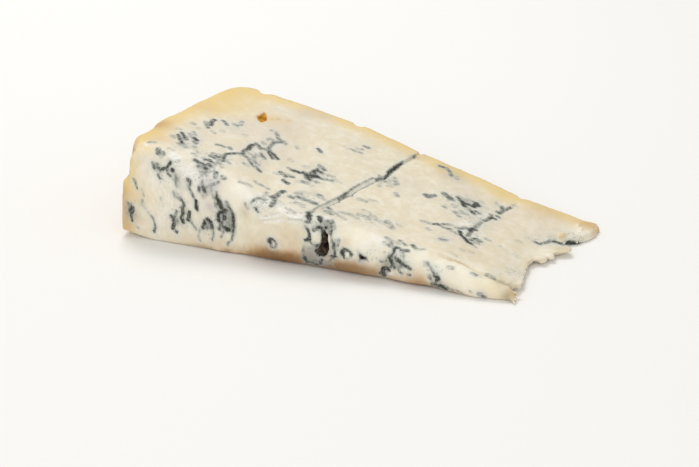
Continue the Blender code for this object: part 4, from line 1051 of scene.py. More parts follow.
# %% Soft patches, as (x, y, z, reach, strength)
PATCHES = {
    "bloom": [  # blue-grey haze of young mould
        (22, 16, 35, 4, 0.6), (32, 10, 30, 6, 0.8), (34, 0, 27, 4, 0.6), (33, 4, 30, 4, 0.4),
        (20, 0, 28, 6, 0.6), (24, 0, 11, 5, 0.7), (34, 0, 9, 4, 0.6), (41, 0, 14, 4, 0.8),
        (43, 20, 29, 5, 0.6), (44, 36, 30, 5, 0.5), (55, 0, 22, 4, 0.9), (59, 1, 23, 3.5, 0.9),
        (66, 28, 25, 7, 0.6), (67, 11, 22, 6, 0.7), (79, -2, 19, 4, 0.9), (80, -3, 4.5, 3, 0.6),
        (114, 44, 12, 8, 0.8), (121, 36, 10, 5, 0.8), (121, 24, 9, 6, 0.9), (105, -3, 10, 4, 0.9),
        (107, -3, 6, 3, 0.6), (92, 12, 16, 7, 0.5), (118, -3, 8, 3, 0.8), (145, 42, 4, 6, 0.6),
        (154, 49, 4, 5, 0.8), (97, -3, 11, 4, 0.5), (143, 14, 4, 5, 0.6), (86, 42, 18, 5, 0.4),
        (4, 0, 12, 5, 0.4), (28, 38, 33, 7, 0.5), (72, 0, 20, 6, 0.5), (116, 14, 11, 4, 0.4),
        (70, 54, 24, 5, 0.3), (34, 60, 30, 5, 0.3), (20, 19, 34, 5, 0.6), (83.5, -3, 9, 2.5, 0.8),
    ],
    "white_mould_and_highlight": [  # whiter, drier bloom on the front and along its edge
        (13, 0, 24, 6, 0.5), (17, 0, 14, 7, 0.5), (28, 0, 26, 6, 0.7), (33, 0, 27, 5, 0.5),
        (22, 2, 33, 5, 0.5), (20, 0, 20, 6, 0.35), (32, 0, 18, 5, 0.4), (46, 0, 25, 5, 0.4),
        (52, 0, 21, 4, 0.4), (80, -2, 20, 4, 0.6), (105, -3, 11, 3, 0.6), (118, -3, 7, 3, 0.5),
        (30, 3, 34, 5, 0.4), (8, 1, 33.5, 4, 0.5), (16, 0, 5, 6, 0.35), (121, 28, 9, 4, 0.4),
        (75, -3, 13, 3, 0.4), (60, 2, 22, 3.5, 0.5),
        (66, 1, 22, 4, 0.5), (71, 0, 21, 3, 0.4), (84, -1, 18, 4, 0.3),
    ],
    "blush": [  # the duller, pinker paste round the veins
        (30, 40, 32, 9, 0.5), (42, 50, 29, 11, 0.8), (45, 36, 29, 8, 0.6), (38, 22, 31, 8, 0.5),
        (56, 30, 26, 9, 0.4), (20, 24, 34, 7, 0.5), (106, 62, 14, 6, 0.8), (114, 52, 12, 9, 0.5),
        (122, 40, 10, 8, 0.6), (112, 22, 12, 8, 0.35), (145, 48, 5, 9, 0.35), (76, 10, 20, 7, 0.4),
        (93, 46, 16, 6, 0.5), (128, 52, 8, 7, 0.35), (6, 0, 12, 5, 0.3), (9, 10, 35, 4, 0.3),
        (45, 66, 28, 5, 0.7), (90, 69, 18, 4, 0.5),
    ],
    "ripe": [  # where the yellowing reaches further in from the rind
        (149.7, 46.2, 4.8, 1.8, 0.9), (137.8, -2, 2.2, 4, 0.25), (136.5, -1, 6, 4, 0.15),
        (151, 38, 3.5, 3, 0.3),
        (9.8, 0, 16.8, 4, 0.3), (4.3, 0, 23.2, 4, 0.35), (14.5, 0, 17.2, 4, 0.25), (9, 66, 34, 9, 0.6),
        (15, 60, 34, 9, 0.6), (13, 48, 34, 8, 0.6), (8, 38, 34, 7, 0.6),
        (8, 28, 34, 5, 0.6), (22, 68, 33, 8, 0.4), (5, 14, 34, 5, 0.7), (4, 9, 35, 4, 0.5),
        (18, 48, 34, 6, 0.4),
        (100, 66, 15, 6, 0.4), (122, 62, 8, 6, 0.5), (150, 60, 4, 7, 0.1), (5, 30, 34, 5, 0.3),
        (36, 54, 30, 5, 0.4), (6, 22, 34, 5, 0.5), (10, 14, 35, 5, 0.4),
        (5, 12, 35, 4, 0.3), (2, 0, 16, 4, 0.5), (2, 0, 24, 3, 0.4), (2, 0, 4, 4, 0.4), (6, 0, 18, 4, 0.25),
        (24, 56, 33, 8, 0.3), (3, 0, 20, 3, 0.4),
    ],
    "lilac": [
        (36, 0, 25, 2.6, 1), (32, 4, 31, 3, 0.9), (115.9, 13.3, 11.4, 1.6, 1), (76.9, -3, 17.4, 1.2, 0.9),
        (92.7, -3, 7.0, 1.0, 0.9), (135, -3, 1.5, 1.6, 0.9), (35.5, 0, 17, 2.2, 0.8),
        (45, 20, 29, 2.4, 0.7), (45, 69, 28, 4, 0.35), (90, 70, 18, 3, 0.3),
        (105.6, -3, 11.4, 1.2, 0.8), (51, 70, 26, 3, 0.5), (74.5, -3, 7, 1.8, 0.9),
        (77.0, -3, 4.4, 1.6, 0.6), (10.5, 0, 34.7, 1.3, 0.7),
        (41.1, 0, 10.3, 1.0, 0.9), (37.2, 0, 10.2, 1.4, 0.7), (60.2, -2, 8.1, 0.8, 1),
        (101.7, -2, 4.4, 1.0, 0.8),
        (38.2, 0, 17.0, 0.9, 0.8), (44, 26, 29, 3, 0.4),
    ],
    "olive": [
        # the patch at 151, 38.6 is painted shade in the gap between the torn thumb and the finger below it
        (102.6, -2, 7.6, 2.2, 1), (147.6, 43.8, 5, 2.0, 0.9), (151, 38.6, 3, 2.6, 0.3),
        (139.6, 1.5, 5.6, 2.6, 0.6), (99, 66.5, 16, 2, 0.7),
        (143, -2, 2, 2.0, 0.6), (4.6, 0, 9, 2.4, 0.8), (9, 0, 14, 1.5, 0.4), (88, 67, 18, 2, 0.5),
        (104, 63, 15, 5, 0.3), (148.4, 43.6, 4.5, 1.6, 0.9),
        (23.0, 0, 25.7, 1.4, 0.7), (22.6, 0, 9.4, 1.4, 0.7), (24.8, 0, 13.6, 1.5, 0.5),
        (3.6, 0, 12.5, 1.2, 0.7),
    ],
    "cream": [
        (91, -3, 14, 7, 0.9), (97, -3, 14, 6, 0.9), (111, -3, 10, 6, 0.8), (128, 0, 5.5, 7, 1),
        (136, -1, 3.5, 5, 0.9), (120, -2, 7, 5, 0.8), (46, 1, 22, 7, 0.9), (61, -2, 18.5, 6, 0.35),
        (52, 0, 19, 5, 0.5), (25, 0, 24, 5, 0.4), (27, 0, 14, 5, 0.3), (30.5, 53, 32, 1.6, 0.8),
        (68, -2, 19, 4, 0.3), (46, 0, 12, 6, 0.3), (154, 54, 4, 4.5, 0.7), (152.4, 58.4, 4.6, 1.6, 0.9),
        (154.4, 55.8, 4.2, 1.6, 0.9), (149.8, 46.2, 4.6, 2.2, 1.0), (146, 34, 3.5, 5, 0.4),
        (87.0, -3, 8.4, 1.6, 0.9),
    ],
    "tan": [
        # the patches low on the front at x 54, 67 and 112 are painted warm reflection at the foot
        (64, -3, 12, 6, 0.14), (67, -3, 7, 5, 0.25), (54, -3, 4, 4, 0.3), (3, 0, 8, 4, 0.35),
        (1.0, 0, 13, 3.6, 0.6), (1, 0, 6, 2.6, 0.4), (1, 0, 17, 2.4, 0.5), (5.5, 23, 35, 4, 0.8),
        (1, 10, 34, 3, 0.3), (12, 45, 34, 5, 0.2), (112, -3, 2.4, 4, 0.7), (5, 22.6, 35, 2, 0.4),
        (86.6, -3, 12.7, 2, 0.35),
        (144, -1, 2.4, 2.4, 0.45), (125, 12, 10, 9, 0.15), (140, 60, 6, 8, 0.3),
        # the patch at 145.9, 24.6 is painted shade in a notch of the tear
        (158, 60.5, 3.5, 4.0, 0.6), (145.9, 24.6, 3.2, 2.6, 0.35), (49.7, 0, 17.3, 3, 0.3),
        (144.4, 0.4, 3, 2.0, 0.6),
        (144, 21.5, 3, 2, 0.4), (155.4, 62.2, 3.6, 3.0, 0.6), (8, 20, 35, 6, 0.2), (12, 10.7, 35, 4, 0.2),
        (154, 39, 4, 2.2, 0.5), (34.1, 0, 21.4, 0.9, 1), (38.5, 54.6, 30, 1.0, 0.5),
        (42, 56, 29, 1.2, 0.4), (33, 52, 30.6, 2.6, 0.45),
        (36.6, 52.6, 30, 0.7, 0.5), (2.0, 0, 3.6, 3, 0.45), (2.4, 0, 18, 2.4, 0.25),
        (4, 22, 35, 3, 0.3), (55.4, -2, 15.0, 1.2, 0.35),
    ],
    "amber": [(33.2, 52.4, 30.6, 4.6, 1), (31.8, 57.0, 30.0, 3.6, 1)],
    "foot": [  # brownish patches: painted shade in and round the slot and the cleft, and painted shade with a painted warm board reflection along the foot
        (74.6, -3, 6.4, 2.4, 0.85), (72.6, -3, 7.6, 1.2, 0.7), (73.4, -3, 3.6, 2.8, 0.85),
        (77.6, -3, 3.2, 2.6, 0.6), (76.2, -3, 9.2, 1.4, 0.7),
        (101.0, -2, 6.0, 2.0, 0.7), (119.4, -2, 2.4, 2.4, 0.5), (121.6, -2, 2.0, 2.2, 0.5),
        (124.5, -2, 1.4, 2.0, 0.35), (49.3, 0, 17.4, 2.4, 0.2), (58.6, -3, 5.8, 3, 0.25),
        (79.6, -3, 8.4, 2.4, 0.6), (75.2, -3, 2.6, 3.4, 0.6), (92, -3, 4.4, 3.5, 0.35),
        (98.5, -3, 3.6, 3.5, 0.35),
    ],
    "murk": [  # grey-blue mould spread between threads
        (41, 0, 13.5, 3, 0.35), (34.5, 0, 10, 2.4, 0.25), (79, -3, 19.4, 2, 0.6), (49.3, 0, 17, 3, 0.3),
        (58.5, 25.5, 26, 4, 0.25), (115.5, 45, 12, 3, 0.25), (74.6, -3, 6.4, 2.2, 0.5), (78, -3, 4, 2, 0.5),
        (72.6, -3, 3.6, 2, 0.7), (80, -3, 8, 2, 0.5), (74.6, -3, 6.8, 2.0, 0.5),
        (72.6, -3, 6.0, 1.6, 0.5), (74.6, -3, 3.4, 2.6, 0.7), (77.2, -3, 20.4, 2.2, 0.5),
        (75.2, -3, 15.8, 1.4, 0.7),
        (104.2, -3, 7.4, 1.6, 0.8), (65, 14, 24, 5, 0.6), (75.6, 7, 21.4, 4, 0.75),
        (21.6, 13.2, 34.5, 4, 0.6), (25, 0, 22.6, 4, 0.5),
        (64.5, 22.6, 26, 5, 0.5), (68.6, 16.4, 23, 4, 0.45), (18, 10, 35, 4, 0.4), (33.8, 0, 21.2, 2, 0.6),
        (81.3, 33.2, 21, 1.6, 0.7), (114, 46.9, 12, 2, 0.7), (78.4, -1, 22.8, 2, 0.6),
        (81.6, -3, 18.4, 1.8, 0.5),
    ],
    "clear": [  # clean paste between threads, where no haze settled
        (74.0, -3, 6.4, 2.0, 0.35), (87.6, -3, 8.2, 1.0, 0.9), (60.6, -3, 8.0, 1.0, 0.8),
        (149.8, 46.2, 5, 1.6, 1), (153.4, 57, 4, 2.6, 0.8), (103.2, -3, 4.4, 1.3, 0.8),
        (76.0, -3, 13.0, 1.6, 0.9),
        (99.0, -3, 12.0, 2.0, 0.5), (80.6, 31.5, 21.5, 2.4, 0.8),
        (78.4, 24, 21.5, 2.4, 0.8), (76.2, 17, 21.5, 2.4, 0.8), (82.0, 36.5, 21, 2, 0.6),
        (73.6, 10, 21.5, 2.4, 0.7),
    ],
}
layers = {name: np.zeros(len(points)) for name in PATCHES}
layers["bloom"] += 0.55 * bloom
# The white ridges join this layer, so it carries painted highlights on the smears as well as white mould.
layers["white_mould_and_highlight"] += ridge
for name, patches in PATCHES.items():
    for x, y, z, reach, strength in patches:
        away = np.linalg.norm(points - (x, y, z), axis=1)
        spread = strength * np.exp(-((away / reach) ** 2))
        layers[name] = 1 - (1 - layers[name]) * (1 - np.clip(spread, 0, 1))
print({name: round(float(layer.mean()), 3) for name, layer in layers.items()})

# %% Depth under the rind, the rind itself, the painted shade and warm reflection at the foot, and the hollows
# Along the foot: how high its painted shade reaches, and how strong its painted warm reflection and its
# painted shade are
FOOT_SHADE_HEIGHT = [
    (12, 0.8), (46, 2.0), (54, 3.9), (60, 4.9), (70, 5.0), (90, 5.4), (98, 4.4), (104, 2.2), (113, 4.0),
    (120, 1.5), (134, 0.8),
]
FOOT_GLOW_SHARE = [(12, 0.4), (46, 0.7), (56, 1), (80, 1), (100, 0.8), (108, 0.5), (118, 0.5)]
FOOT_SHADE_SHARE = [
    (12, 0.2), (46, 0.5), (57, 1), (70, 1), (80, 0.9), (88, 0.7), (96, 0.35), (108, 0.3), (118, 0.5),
]
px, py, pz = points.T
under_rind = np.minimum(px - rind_place(py, pz), along(BACK_WALL, px) - py)
cut_here = np.maximum(pz - top_height(px, py), front_wall(px, pz) - py)
rind_side = np.maximum(-under_rind, -9) - cut_here
foot_shade_height = along(FOOT_SHADE_HEIGHT, px)
along_foot = smooth((px - 12) / 36) * smooth((134 - px) / 8) * smooth((2.5 - py) / 2)
ragged = pz + 0.9 * cloud(px, py, pz, 3.5, 4) + 0.5 * cloud(px, py, pz, 1.3, 5)
foot_glow = along(FOOT_GLOW_SHARE, px) * along_foot * smooth((foot_shade_height + 3.6 - ragged) / 5.0)
foot_shade = along(FOOT_SHADE_SHARE, px) * along_foot * smooth((1.5 * foot_shade_height - ragged) / 4.5)
# painted contact shadow, right next to the board
contact_shadow = along_foot * smooth((1.5 - ragged) / 1.6)  # darkest next to the board
upward = smooth((py - front_wall(px, pz) - 1.0) / 3)
layers["clear"] = np.maximum(layers["clear"], cleaned)
layers["bloom"] *= 1 - layers["clear"]
layers["crowd"] = (1 - (1 - crowd) * (1 - layers.pop("murk"))) * (1 - layers["clear"])
layers["carved_mm"] = np.maximum(-field_at(points, whole_block), 0) * smooth(under_rind / 4 - 1)
layers["carved_mm"] *= 1 - layers["clear"]
layers["amber"] = layers["amber"] * smooth(layers["carved_mm"] / 0.6)
# The foot's painted warm reflection goes into the tan layer, its painted shade and contact shadow into the
# foot layer.
layers["tan"] = 1 - (1 - layers["tan"]) * (1 - 0.85 * foot_glow)
layers["foot"] = 1 - (1 - layers["foot"]) * (1 - foot_shade) * (1 - 0.6 * contact_shadow)
layers["vein_mm"] = vein + 0.8 * cleaned
layers["upward"] = upward
layers["ink"] = ink
layers["under_rind_mm"] = under_rind + 3.5 * (1 - upward) + 1.0 * smooth((px - 132) / 14)
layers["rind_mm"] = rind_side
print("rind vertices:", int((rind_side > 0).sum()), "tanned foot:", int((foot_glow > 0.5).sum()))

# %% [markdown]
# ## The paste's mesh
# The quads and the underside's triangles go into a mesh at the part's own place and scale.

# %% Make it


def new_mesh(name, places, faces):
    mesh = bpy.data.meshes.new(name)
    mesh.from_pydata(to_part(places).tolist(), [], faces)
    mesh.validate()
    obj = bpy.data.objects.new(name, mesh)
    bpy.context.scene.collection.objects.link(obj)
    return obj


wedge = new_mesh("cheese_wedge", points, quads.tolist() + under)
for name, values in layers.items():
    attribute = wedge.data.attributes.new(name, "FLOAT", "POINT")
    attribute.data.foreach_set("value", values.astype(np.float32))
wedge.data.shade_smooth()
print("faces:", len(wedge.data.polygons), "vertices:", len(wedge.data.vertices))

# %% [markdown]
# ## Finishes
# One small function adds a node, its settings and its links. Each finish then has two tables:
# steps, which make numbers between 0 and 1 from the vertex numbers and from noise, and coats, which
# lay colours over one another where those numbers say. Colours are sRGB hex, made linear once.

# %% Helpers for materials


def colour(hex_code):
    """An sRGB hex colour as linear RGBA."""
    parts = [int(hex_code[k:k + 2], 16) / 255 for k in (0, 2, 4)]
    return [c / 12.92 if c <= 0.04045 else ((c + 0.055) / 1.055) ** 2.4 for c in parts] + [1.0]


def add(tree, kind, inputs=None, **settings):
    """Adds a node. Its inputs are values or another node's output, by name or number."""
    node = tree.nodes.new(kind)
    for name, value in settings.items():
        setattr(node, name, value)
    for name, value in (inputs or {}).items():
        if isinstance(value, bpy.types.NodeSocket):
            tree.links.new(value, node.inputs[name])
        else:
            node.inputs[name].default_value = value
    return node


def follow(tree, steps, known):
    """Adds a node for each step, (name, how, inputs), and keeps what it gives under that name."""
    for name, how, *inputs in steps:
        given = dict(enumerate(known[v] if isinstance(v, str) else v for v in inputs))
        if how == "SMOOTH":  # 0 to 1 as the value goes from one limit to the other
            node = add(tree, "ShaderNodeMapRange", given, interpolation_type="SMOOTHSTEP")
        elif how == "SPOTS":  # noise round 0.5; its inputs are place, size in mm, detail, roughness
            where, size, detail, roughness = given.values()
            node = add(tree, "ShaderNodeTexNoise", {
                "Vector": where, "Scale": 1 / (size * MM), "Detail": detail, "Roughness": roughness})
        else:
            node = add(tree, "ShaderNodeMath", given, operation=how)
        known[name] = node.outputs[0]


def start_look(name, numbers=()):
    """A new material, its tree and its shader, and what its steps start from: place and numbers."""
    look = bpy.data.materials.new(name)
    look.use_nodes = True
    tree = look.node_tree
    known = {"place": add(tree, "ShaderNodeTexCoord").outputs["Object"]}
    for number in numbers:
        known[number] = add(tree, "ShaderNodeAttribute", attribute_name=number).outputs["Fac"]
    return look, tree, tree.nodes["Principled BSDF"], known


def emboss(tree, shader, height, strength, deep):
    """Bumps, this many millimetres deep where the height is 1."""
    bump = add(tree, "ShaderNodeBump", {"Height": height, "Strength": strength, "Distance": deep * MM})
    tree.links.new(bump.outputs[0], shader.inputs["Normal"])


def paint(tree, first, coats, known):
    """Lays coats, (share, colour), over a first colour."""
    top = colour(first)
    for share, hue in coats:
        node = add(tree, "ShaderNodeMix", {0: known[share], 6: top, 7: colour(hue)}, data_type="RGBA")
        top = node.outputs[2]
    return top


# %% [markdown]
# ### Ripe gorgonzola paste
# Ripe paste is moist milk fat and protein: off-white, a little see-through, with a soft gloss and
# no grain. It yellows in the last centimetre under the rind, where it ripens first, and greys where mould
# grows. Light goes a millimetre into it, so the shader gets a small subsurface share. The wire drags
# the mould along x on the upper cut and downwards on the front, so the noise that frays each thread
# is stretched that way.

# %% What the paste's material knows
paste_look, tree, shader, known = start_look("gorgonzola_paste_wire_cut", layers)
place = known["place"]
known["along_x"] = add(tree, "ShaderNodeMapping", {0: place, 3: (0.38, 1.0, 1.0)}).outputs[0]
known["along_z"] = add(tree, "ShaderNodeMapping", {0: place, 3: (1.0, 1.0, 0.5)}).outputs[0]
follow(tree, [
    ("broad", "SPOTS", "place", 16, 2, 0.5),
    ("fine", "SPOTS", "place", 2.2, 3, 0.6),
    ("tiny", "SPOTS", "place", 0.7, 2, 0.6),
    # fraying, about 1 mm and 0.5 mm across, dragged along the cut
    ("fray_x", "SPOTS", "along_x", 1.0, 3, 0.7),
    ("fray_z", "SPOTS", "along_z", 1.0, 3, 0.7),
    ("fray_difference", "SUBTRACT", "fray_x", "fray_z"),
    ("fray", "MULTIPLY_ADD", "fray_difference", "upward", "fray_z"),
    ("clumps", "SPOTS", "place", 1.5, 2, 0.5),
    ("mottle", "SPOTS", "place", 4.0, 3, 0.6),
    ("speck_x", "SPOTS", "along_x", 0.5, 1, 0.5),
    ("speck_z", "SPOTS", "along_z", 0.5, 1, 0.5),
    ("speck_difference", "SUBTRACT", "speck_x", "speck_z"),
    ("speck", "MULTIPLY_ADD", "speck_difference", "upward", "speck_z"),
], known)

# %% Where the paste is cream, tan, yellow, brown or hazy
follow(tree, [
    ("warmer", "SMOOTH", "broad", 0.35, 0.68),
    ("dull", "SMOOTH", "fine", 0.42, 0.7, 0.0, 0.55),
    ("milky", "SMOOTH", "mottle", 0.42, 0.66, 0.0, 0.45),
    ("pinkish", "MULTIPLY", "blush", 0.8),
    ("fresh", "MULTIPLY", "cream", 0.8),
    ("blotched", "SMOOTH", "broad", 0.3, 0.6, 0.8, 1.0),
    # painted shade and warm reflection at the foot, and painted shade round the slot
    ("brown", "MULTIPLY", "foot", "blotched"),
    # yellowing under the rind, with an uneven front
    ("depth", "MULTIPLY_ADD", "fine", 5.0, "under_rind_mm"),
    ("yellow", "SMOOTH", "depth", 13.5, 4.5, 0.0, 0.8),
    ("dry", "SMOOTH", "depth", 4.7, 2.5, 0.0, 0.55),
    # darker with depth in the hollows: partly the dark colour of old mould, partly painted shade
    ("inside", "SMOOTH", "carved_mm", 0.9, 2.2, 0.0, 0.93),
    ("deep", "SMOOTH", "carved_mm", 1.5, 2.8, 0.0, 0.85),
    ("wet", "MULTIPLY_ADD", "amber", -0.75, 1.0),
    ("deep", "MULTIPLY", "deep", "wet"),
    ("inside", "MULTIPLY", "inside", "wet"),
    # young mould: a cool haze round the threads, in soft spots, and white where it is dry; the white also
    # paints highlights on the smears
    ("drifts", "SMOOTH", "fray", 0.3, 0.66),
    ("haze", "MULTIPLY", "bloom", "drifts"),
    ("haze", "MULTIPLY", "haze", 0.85),
    ("powder", "SMOOTH", "fray", 0.68, 0.32, 0.35, 1.0),
    ("white", "MULTIPLY", "white_mould_and_highlight", "powder"),
    ("violet", "MULTIPLY", "lilac", 0.75),
    ("ochre", "MULTIPLY", "olive", 0.75),
], known)

# %% Where threads of mould run
follow(tree, [
    # fine threads: the narrow band where a noise crosses its middle is a winding line
    ("weave_x", "SPOTS", "along_x", 2.0, 3, 0.6),
    ("weave_z", "SPOTS", "along_z", 2.0, 3, 0.6),
    ("weave_difference", "SUBTRACT", "weave_x", "weave_z"),
    ("weave", "MULTIPLY_ADD", "weave_difference", "upward", "weave_z"),
    ("off_middle", "SUBTRACT", "weave", 0.5),
    ("off_middle", "ABSOLUTE", "off_middle"),
    ("thread", "SMOOTH", "off_middle", 0.07, 0.01),
    ("broken", "SMOOTH", "clumps", 0.5, 0.6),
    ("thread", "MULTIPLY", "thread", "broken"),
    ("grown", "SMOOTH", "bloom", 0.2, 0.8, 0.0, 0.45),
    ("thread", "MULTIPLY", "thread", "grown"),
    # the strokes, frayed: a pale halo, a grey margin and a dark core
    ("frayed", "SUBTRACT", "fray", 0.5),
    ("wider", "MULTIPLY_ADD", "upward", -0.1, "vein_mm"),
    ("edge", "MULTIPLY_ADD", "frayed", 1.8, "wider"),
    ("spores", "SUBTRACT", "clumps", 0.5),
    ("spores", "MULTIPLY_ADD", "spores", 0.9, "ink"),
    ("speckled", "SUBTRACT", "speck", 0.5),
    ("grain", "SMOOTH", "ink", 0.3, 0.9, 0.5, 1.6),
    ("spores", "MULTIPLY_ADD", "speckled", "grain", "spores"),
    # stray specks in the haze
    ("stray", "SMOOTH", "speck", 0.63, 0.72),
    ("dusted", "SMOOTH", "bloom", 0.12, 0.6, 0.0, 0.75),
    ("stray", "MULTIPLY", "stray", "dusted"),
    ("halo", "SMOOTH", "edge", 1.5, 0.2),
    ("halo_ink", "SMOOTH", "ink", 0.0, 0.6, 0.0, 0.4),
    ("halo", "MULTIPLY", "halo", "halo_ink"),
    ("untanned", "SUBTRACT", 1.0, "tan"),
    ("halo", "MULTIPLY", "halo", "untanned"),
    ("margin_edge", "MULTIPLY_ADD", "upward", -0.3, "edge"),
    ("margin", "SMOOTH", "margin_edge", 0.35, -0.15),
    ("margin_ink", "SMOOTH", "spores", 0.0, 0.8, 0.05, 0.85),
    ("margin", "MULTIPLY", "margin", "margin_ink"),
    ("core", "SMOOTH", "edge", 0.2, -0.25),
    ("core_ink", "SMOOTH", "spores", 0.3, 1.0, 0.0, 0.95),
    ("core", "MULTIPLY", "core", "core_ink"),
    # grey-blue between threads that lie close together
    ("frayed_crowd", "MULTIPLY_ADD", "frayed", -0.8, "crowd"),
    ("grey", "SMOOTH", "frayed_crowd", 0.22, 0.85, 0.0, 0.65),
], known)

# %% The paste's colours
base = paint(tree, "e3d8be", [
    ("warmer", "e2d5b8"), ("dull", "d9ceb4"), ("milky", "f1ebdb"), ("pinkish", "d3c5b1"), ("fresh", "f6f0dc"),
    # tan is partly the paste's own colour and partly painted warm reflection at the foot; brown is painted
    # shade at the foot and round the slot
    ("yellow", "e3c780"), ("ripe", "e3c57c"), ("dry", "cfae74"), ("tan", "c59c68"), ("brown", "7a5322"),
    # inside and deep: painted shade in the hollows, in the colour of old mould
    ("inside", "2a2118"),
    # white: white mould, and painted highlights on the smears
    ("white", "f4f2ec"), ("haze", "c8cdc8"), ("violet", "b9b0b8"), ("ochre", "857a50"),
    ("thread", "84857b"), ("halo", "ced1c8"), ("grey", "93978f"), ("stray", "74776f"),
    ("margin", "8a8c84"), ("core", "33342a"),
    ("amber", "b06800"), ("deep", "45372a"),
], known)
tree.links.new(base, shader.inputs["Base Color"])
shader.inputs["IOR"].default_value = 1.45
shader.inputs["Subsurface Weight"].default_value = 0.08
shader.inputs["Subsurface Radius"].default_value = (1.0, 0.8, 0.5)
shader.inputs["Subsurface Scale"].default_value = 1.0 * MM
follow(tree, [
    ("gloss", "MULTIPLY_ADD", "fine", 0.22, 0.42),
    ("gloss", "MULTIPLY_ADD", "core", 0.25, "gloss"),
    ("relief", "MULTIPLY", "fine", 0.6),
    ("relief", "MULTIPLY_ADD", "tiny", 0.35, "relief"),
    ("relief", "MULTIPLY_ADD", "core", -0.5, "relief"),
], known)
tree.links.new(known["gloss"], shader.inputs["Roughness"])
emboss(tree, shader, known["relief"], 0.45, 0.35)
print("paste nodes:", len(tree.nodes))

# %% [markdown]
# ### Natural rind
# Gorgonzola's rind is washed and rubbed with salt, then dries to a thin, tough skin. It is tan to
# greyish pink, dull and gritty, with pale salt bloom and grey-blue mould in patches.

# %% The rind's material
rind_look, tree, shader, known = start_look("gorgonzola_rind_salt_rubbed", ["rind_mm"])
follow(tree, [
    ("broad", "SPOTS", "place", 12, 3, 0.5),
    ("fine", "SPOTS", "place", 3.0, 5, 0.8),
    ("grit", "SPOTS", "place", 0.6, 2, 0.6),
    ("patches", "SPOTS", "place", 15, 5, 0.7),
    ("darker", "SMOOTH", "broad", 0.35, 0.65),
    ("salt", "SMOOTH", "fine", 0.46, 0.68, 0.0, 0.85),
    ("dusted", "SMOOTH", "patches", 0.62, 0.42, 0.15, 1.0),
    ("salt", "MULTIPLY", "salt", "dusted"),
    ("grey mould", "SMOOTH", "patches", 0.52, 0.72, 0.0, 0.6),
    ("dark grit", "SMOOTH", "grit", 0.55, 0.7, 0.0, 0.6),
    ("cut edge", "SMOOTH", "rind_mm", 3.4, 1.4),
    ("relief", "MULTIPLY_ADD", "grit", 0.5, "fine"),
], known)
base = paint(tree, "d2b184", [
    ("darker", "bd9a70"), ("salt", "dccdb2"), ("grey mould", "a8a594"), ("dark grit", "8c6c4a"),
    ("cut edge", "dcbf85"),
], known)
tree.links.new(base, shader.inputs["Base Color"])
shader.inputs["IOR"].default_value = 1.45
shader.inputs["Roughness"].default_value = 0.82
emboss(tree, shader, known["relief"], 1.0, 0.8)

# %% [markdown]
# ### Dried whey
# A drop of whey that dried in a hollow is clear and brown-orange, darker where it is thick. It holds
# little fat, so it shines less than the paste and its colour is purer.

# %% The whey's material
whey_look, tree, shader, known = start_look("dried_whey_drop", ["carved_mm"])
follow(tree, [
    ("clots", "SPOTS", "place", 1.6, 2, 0.5),
    ("thin", "SMOOTH", "carved_mm", 0.9, 0.25),
    ("thick", "SMOOTH", "clots", 0.45, 0.6),
], known)
base = paint(tree, "c8942c", [("thick", "a4640e"), ("thin", "e2c68a")], known)
tree.links.new(base, shader.inputs["Base Color"])
shader.inputs["IOR"].default_value = 1.35
shader.inputs["Specular IOR Level"].default_value = 0.2
shader.inputs["Roughness"].default_value = 0.6

# %% [markdown]
# ### Damp mould and painted shade in the deep hollows
# Where the paste cracked open, old mould turns brown-black and damp crumbs swallow the light; the same
# brown-black also paints the shade in the hollows. The paste's gloss would grey it, so the deepest faces have
# their own dull finish.

# %% The hollows' material
hollow_look, tree, shader, known = start_look("old_mould_and_painted_shade_in_a_crack")
follow(tree, [
    ("crumbs", "SPOTS", "place", 1.2, 3, 0.6),
    ("dusty", "SMOOTH", "crumbs", 0.5, 0.66, 0.0, 0.7),
], known)
base = paint(tree, "3a2e22", [("dusty", "6a6256")], known)
tree.links.new(base, shader.inputs["Base Color"])
shader.inputs["IOR"].default_value = 1.4
shader.inputs["Specular IOR Level"].default_value = 0.2
shader.inputs["Roughness"].default_value = 0.85
emboss(tree, shader, known["crumbs"], 0.6, 0.4)

# %% Give each face its finish
PASTE, RIND, WHEY, HOLLOW = range(4)
for look in (paste_look, rind_look, whey_look, hollow_look):
    wedge.data.materials.append(look)
WORN_EDGE = 1.4  # mm that the paste's yellow runs over the rind's worn edge
DEEP = 1.3  # mm under the block's own surface, from where faces take the dark finish of old mould and painted shade
WHEY_FROM = 0.45  # of the amber patch's strength

face_rind = rind_side[quads].mean(1) > WORN_EDGE
face_deep = layers["carved_mm"][quads].mean(1) > DEEP
face_whey = layers["amber"][quads].mean(1) > WHEY_FROM
shares = np.full(len(wedge.data.polygons), PASTE, np.int32)
for chosen, finish in ((face_rind, RIND), (face_deep, HOLLOW), (face_whey, WHEY)):
    shares[:len(quads)][chosen] = finish
wedge.data.polygons.foreach_set("material_index", shares)
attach(wedge, "root")
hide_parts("wedge")
print("rind faces:", int(face_rind.sum()), "whey faces:", int(face_whey.sum()),
      "deep faces:", int(face_deep.sum()))

# %% [markdown]
# ### Tufts of mould and torn crumbs
# Where air reaches it, blue mould stands up in tiny tufts that catch the light, along the darkest
# threads and at the mouths of the hollows. The torn edge ends in crumbs. Both are many small grains
# on a surface, so one Geometry Nodes tree scatters them: it drops points on a ground, puts an uneven
# ball of 20 faces on each, turned square to the ground, and makes the result real. A real tuft is
# under 0.1 mm wide and is drawn a few times as large, so that it shows.

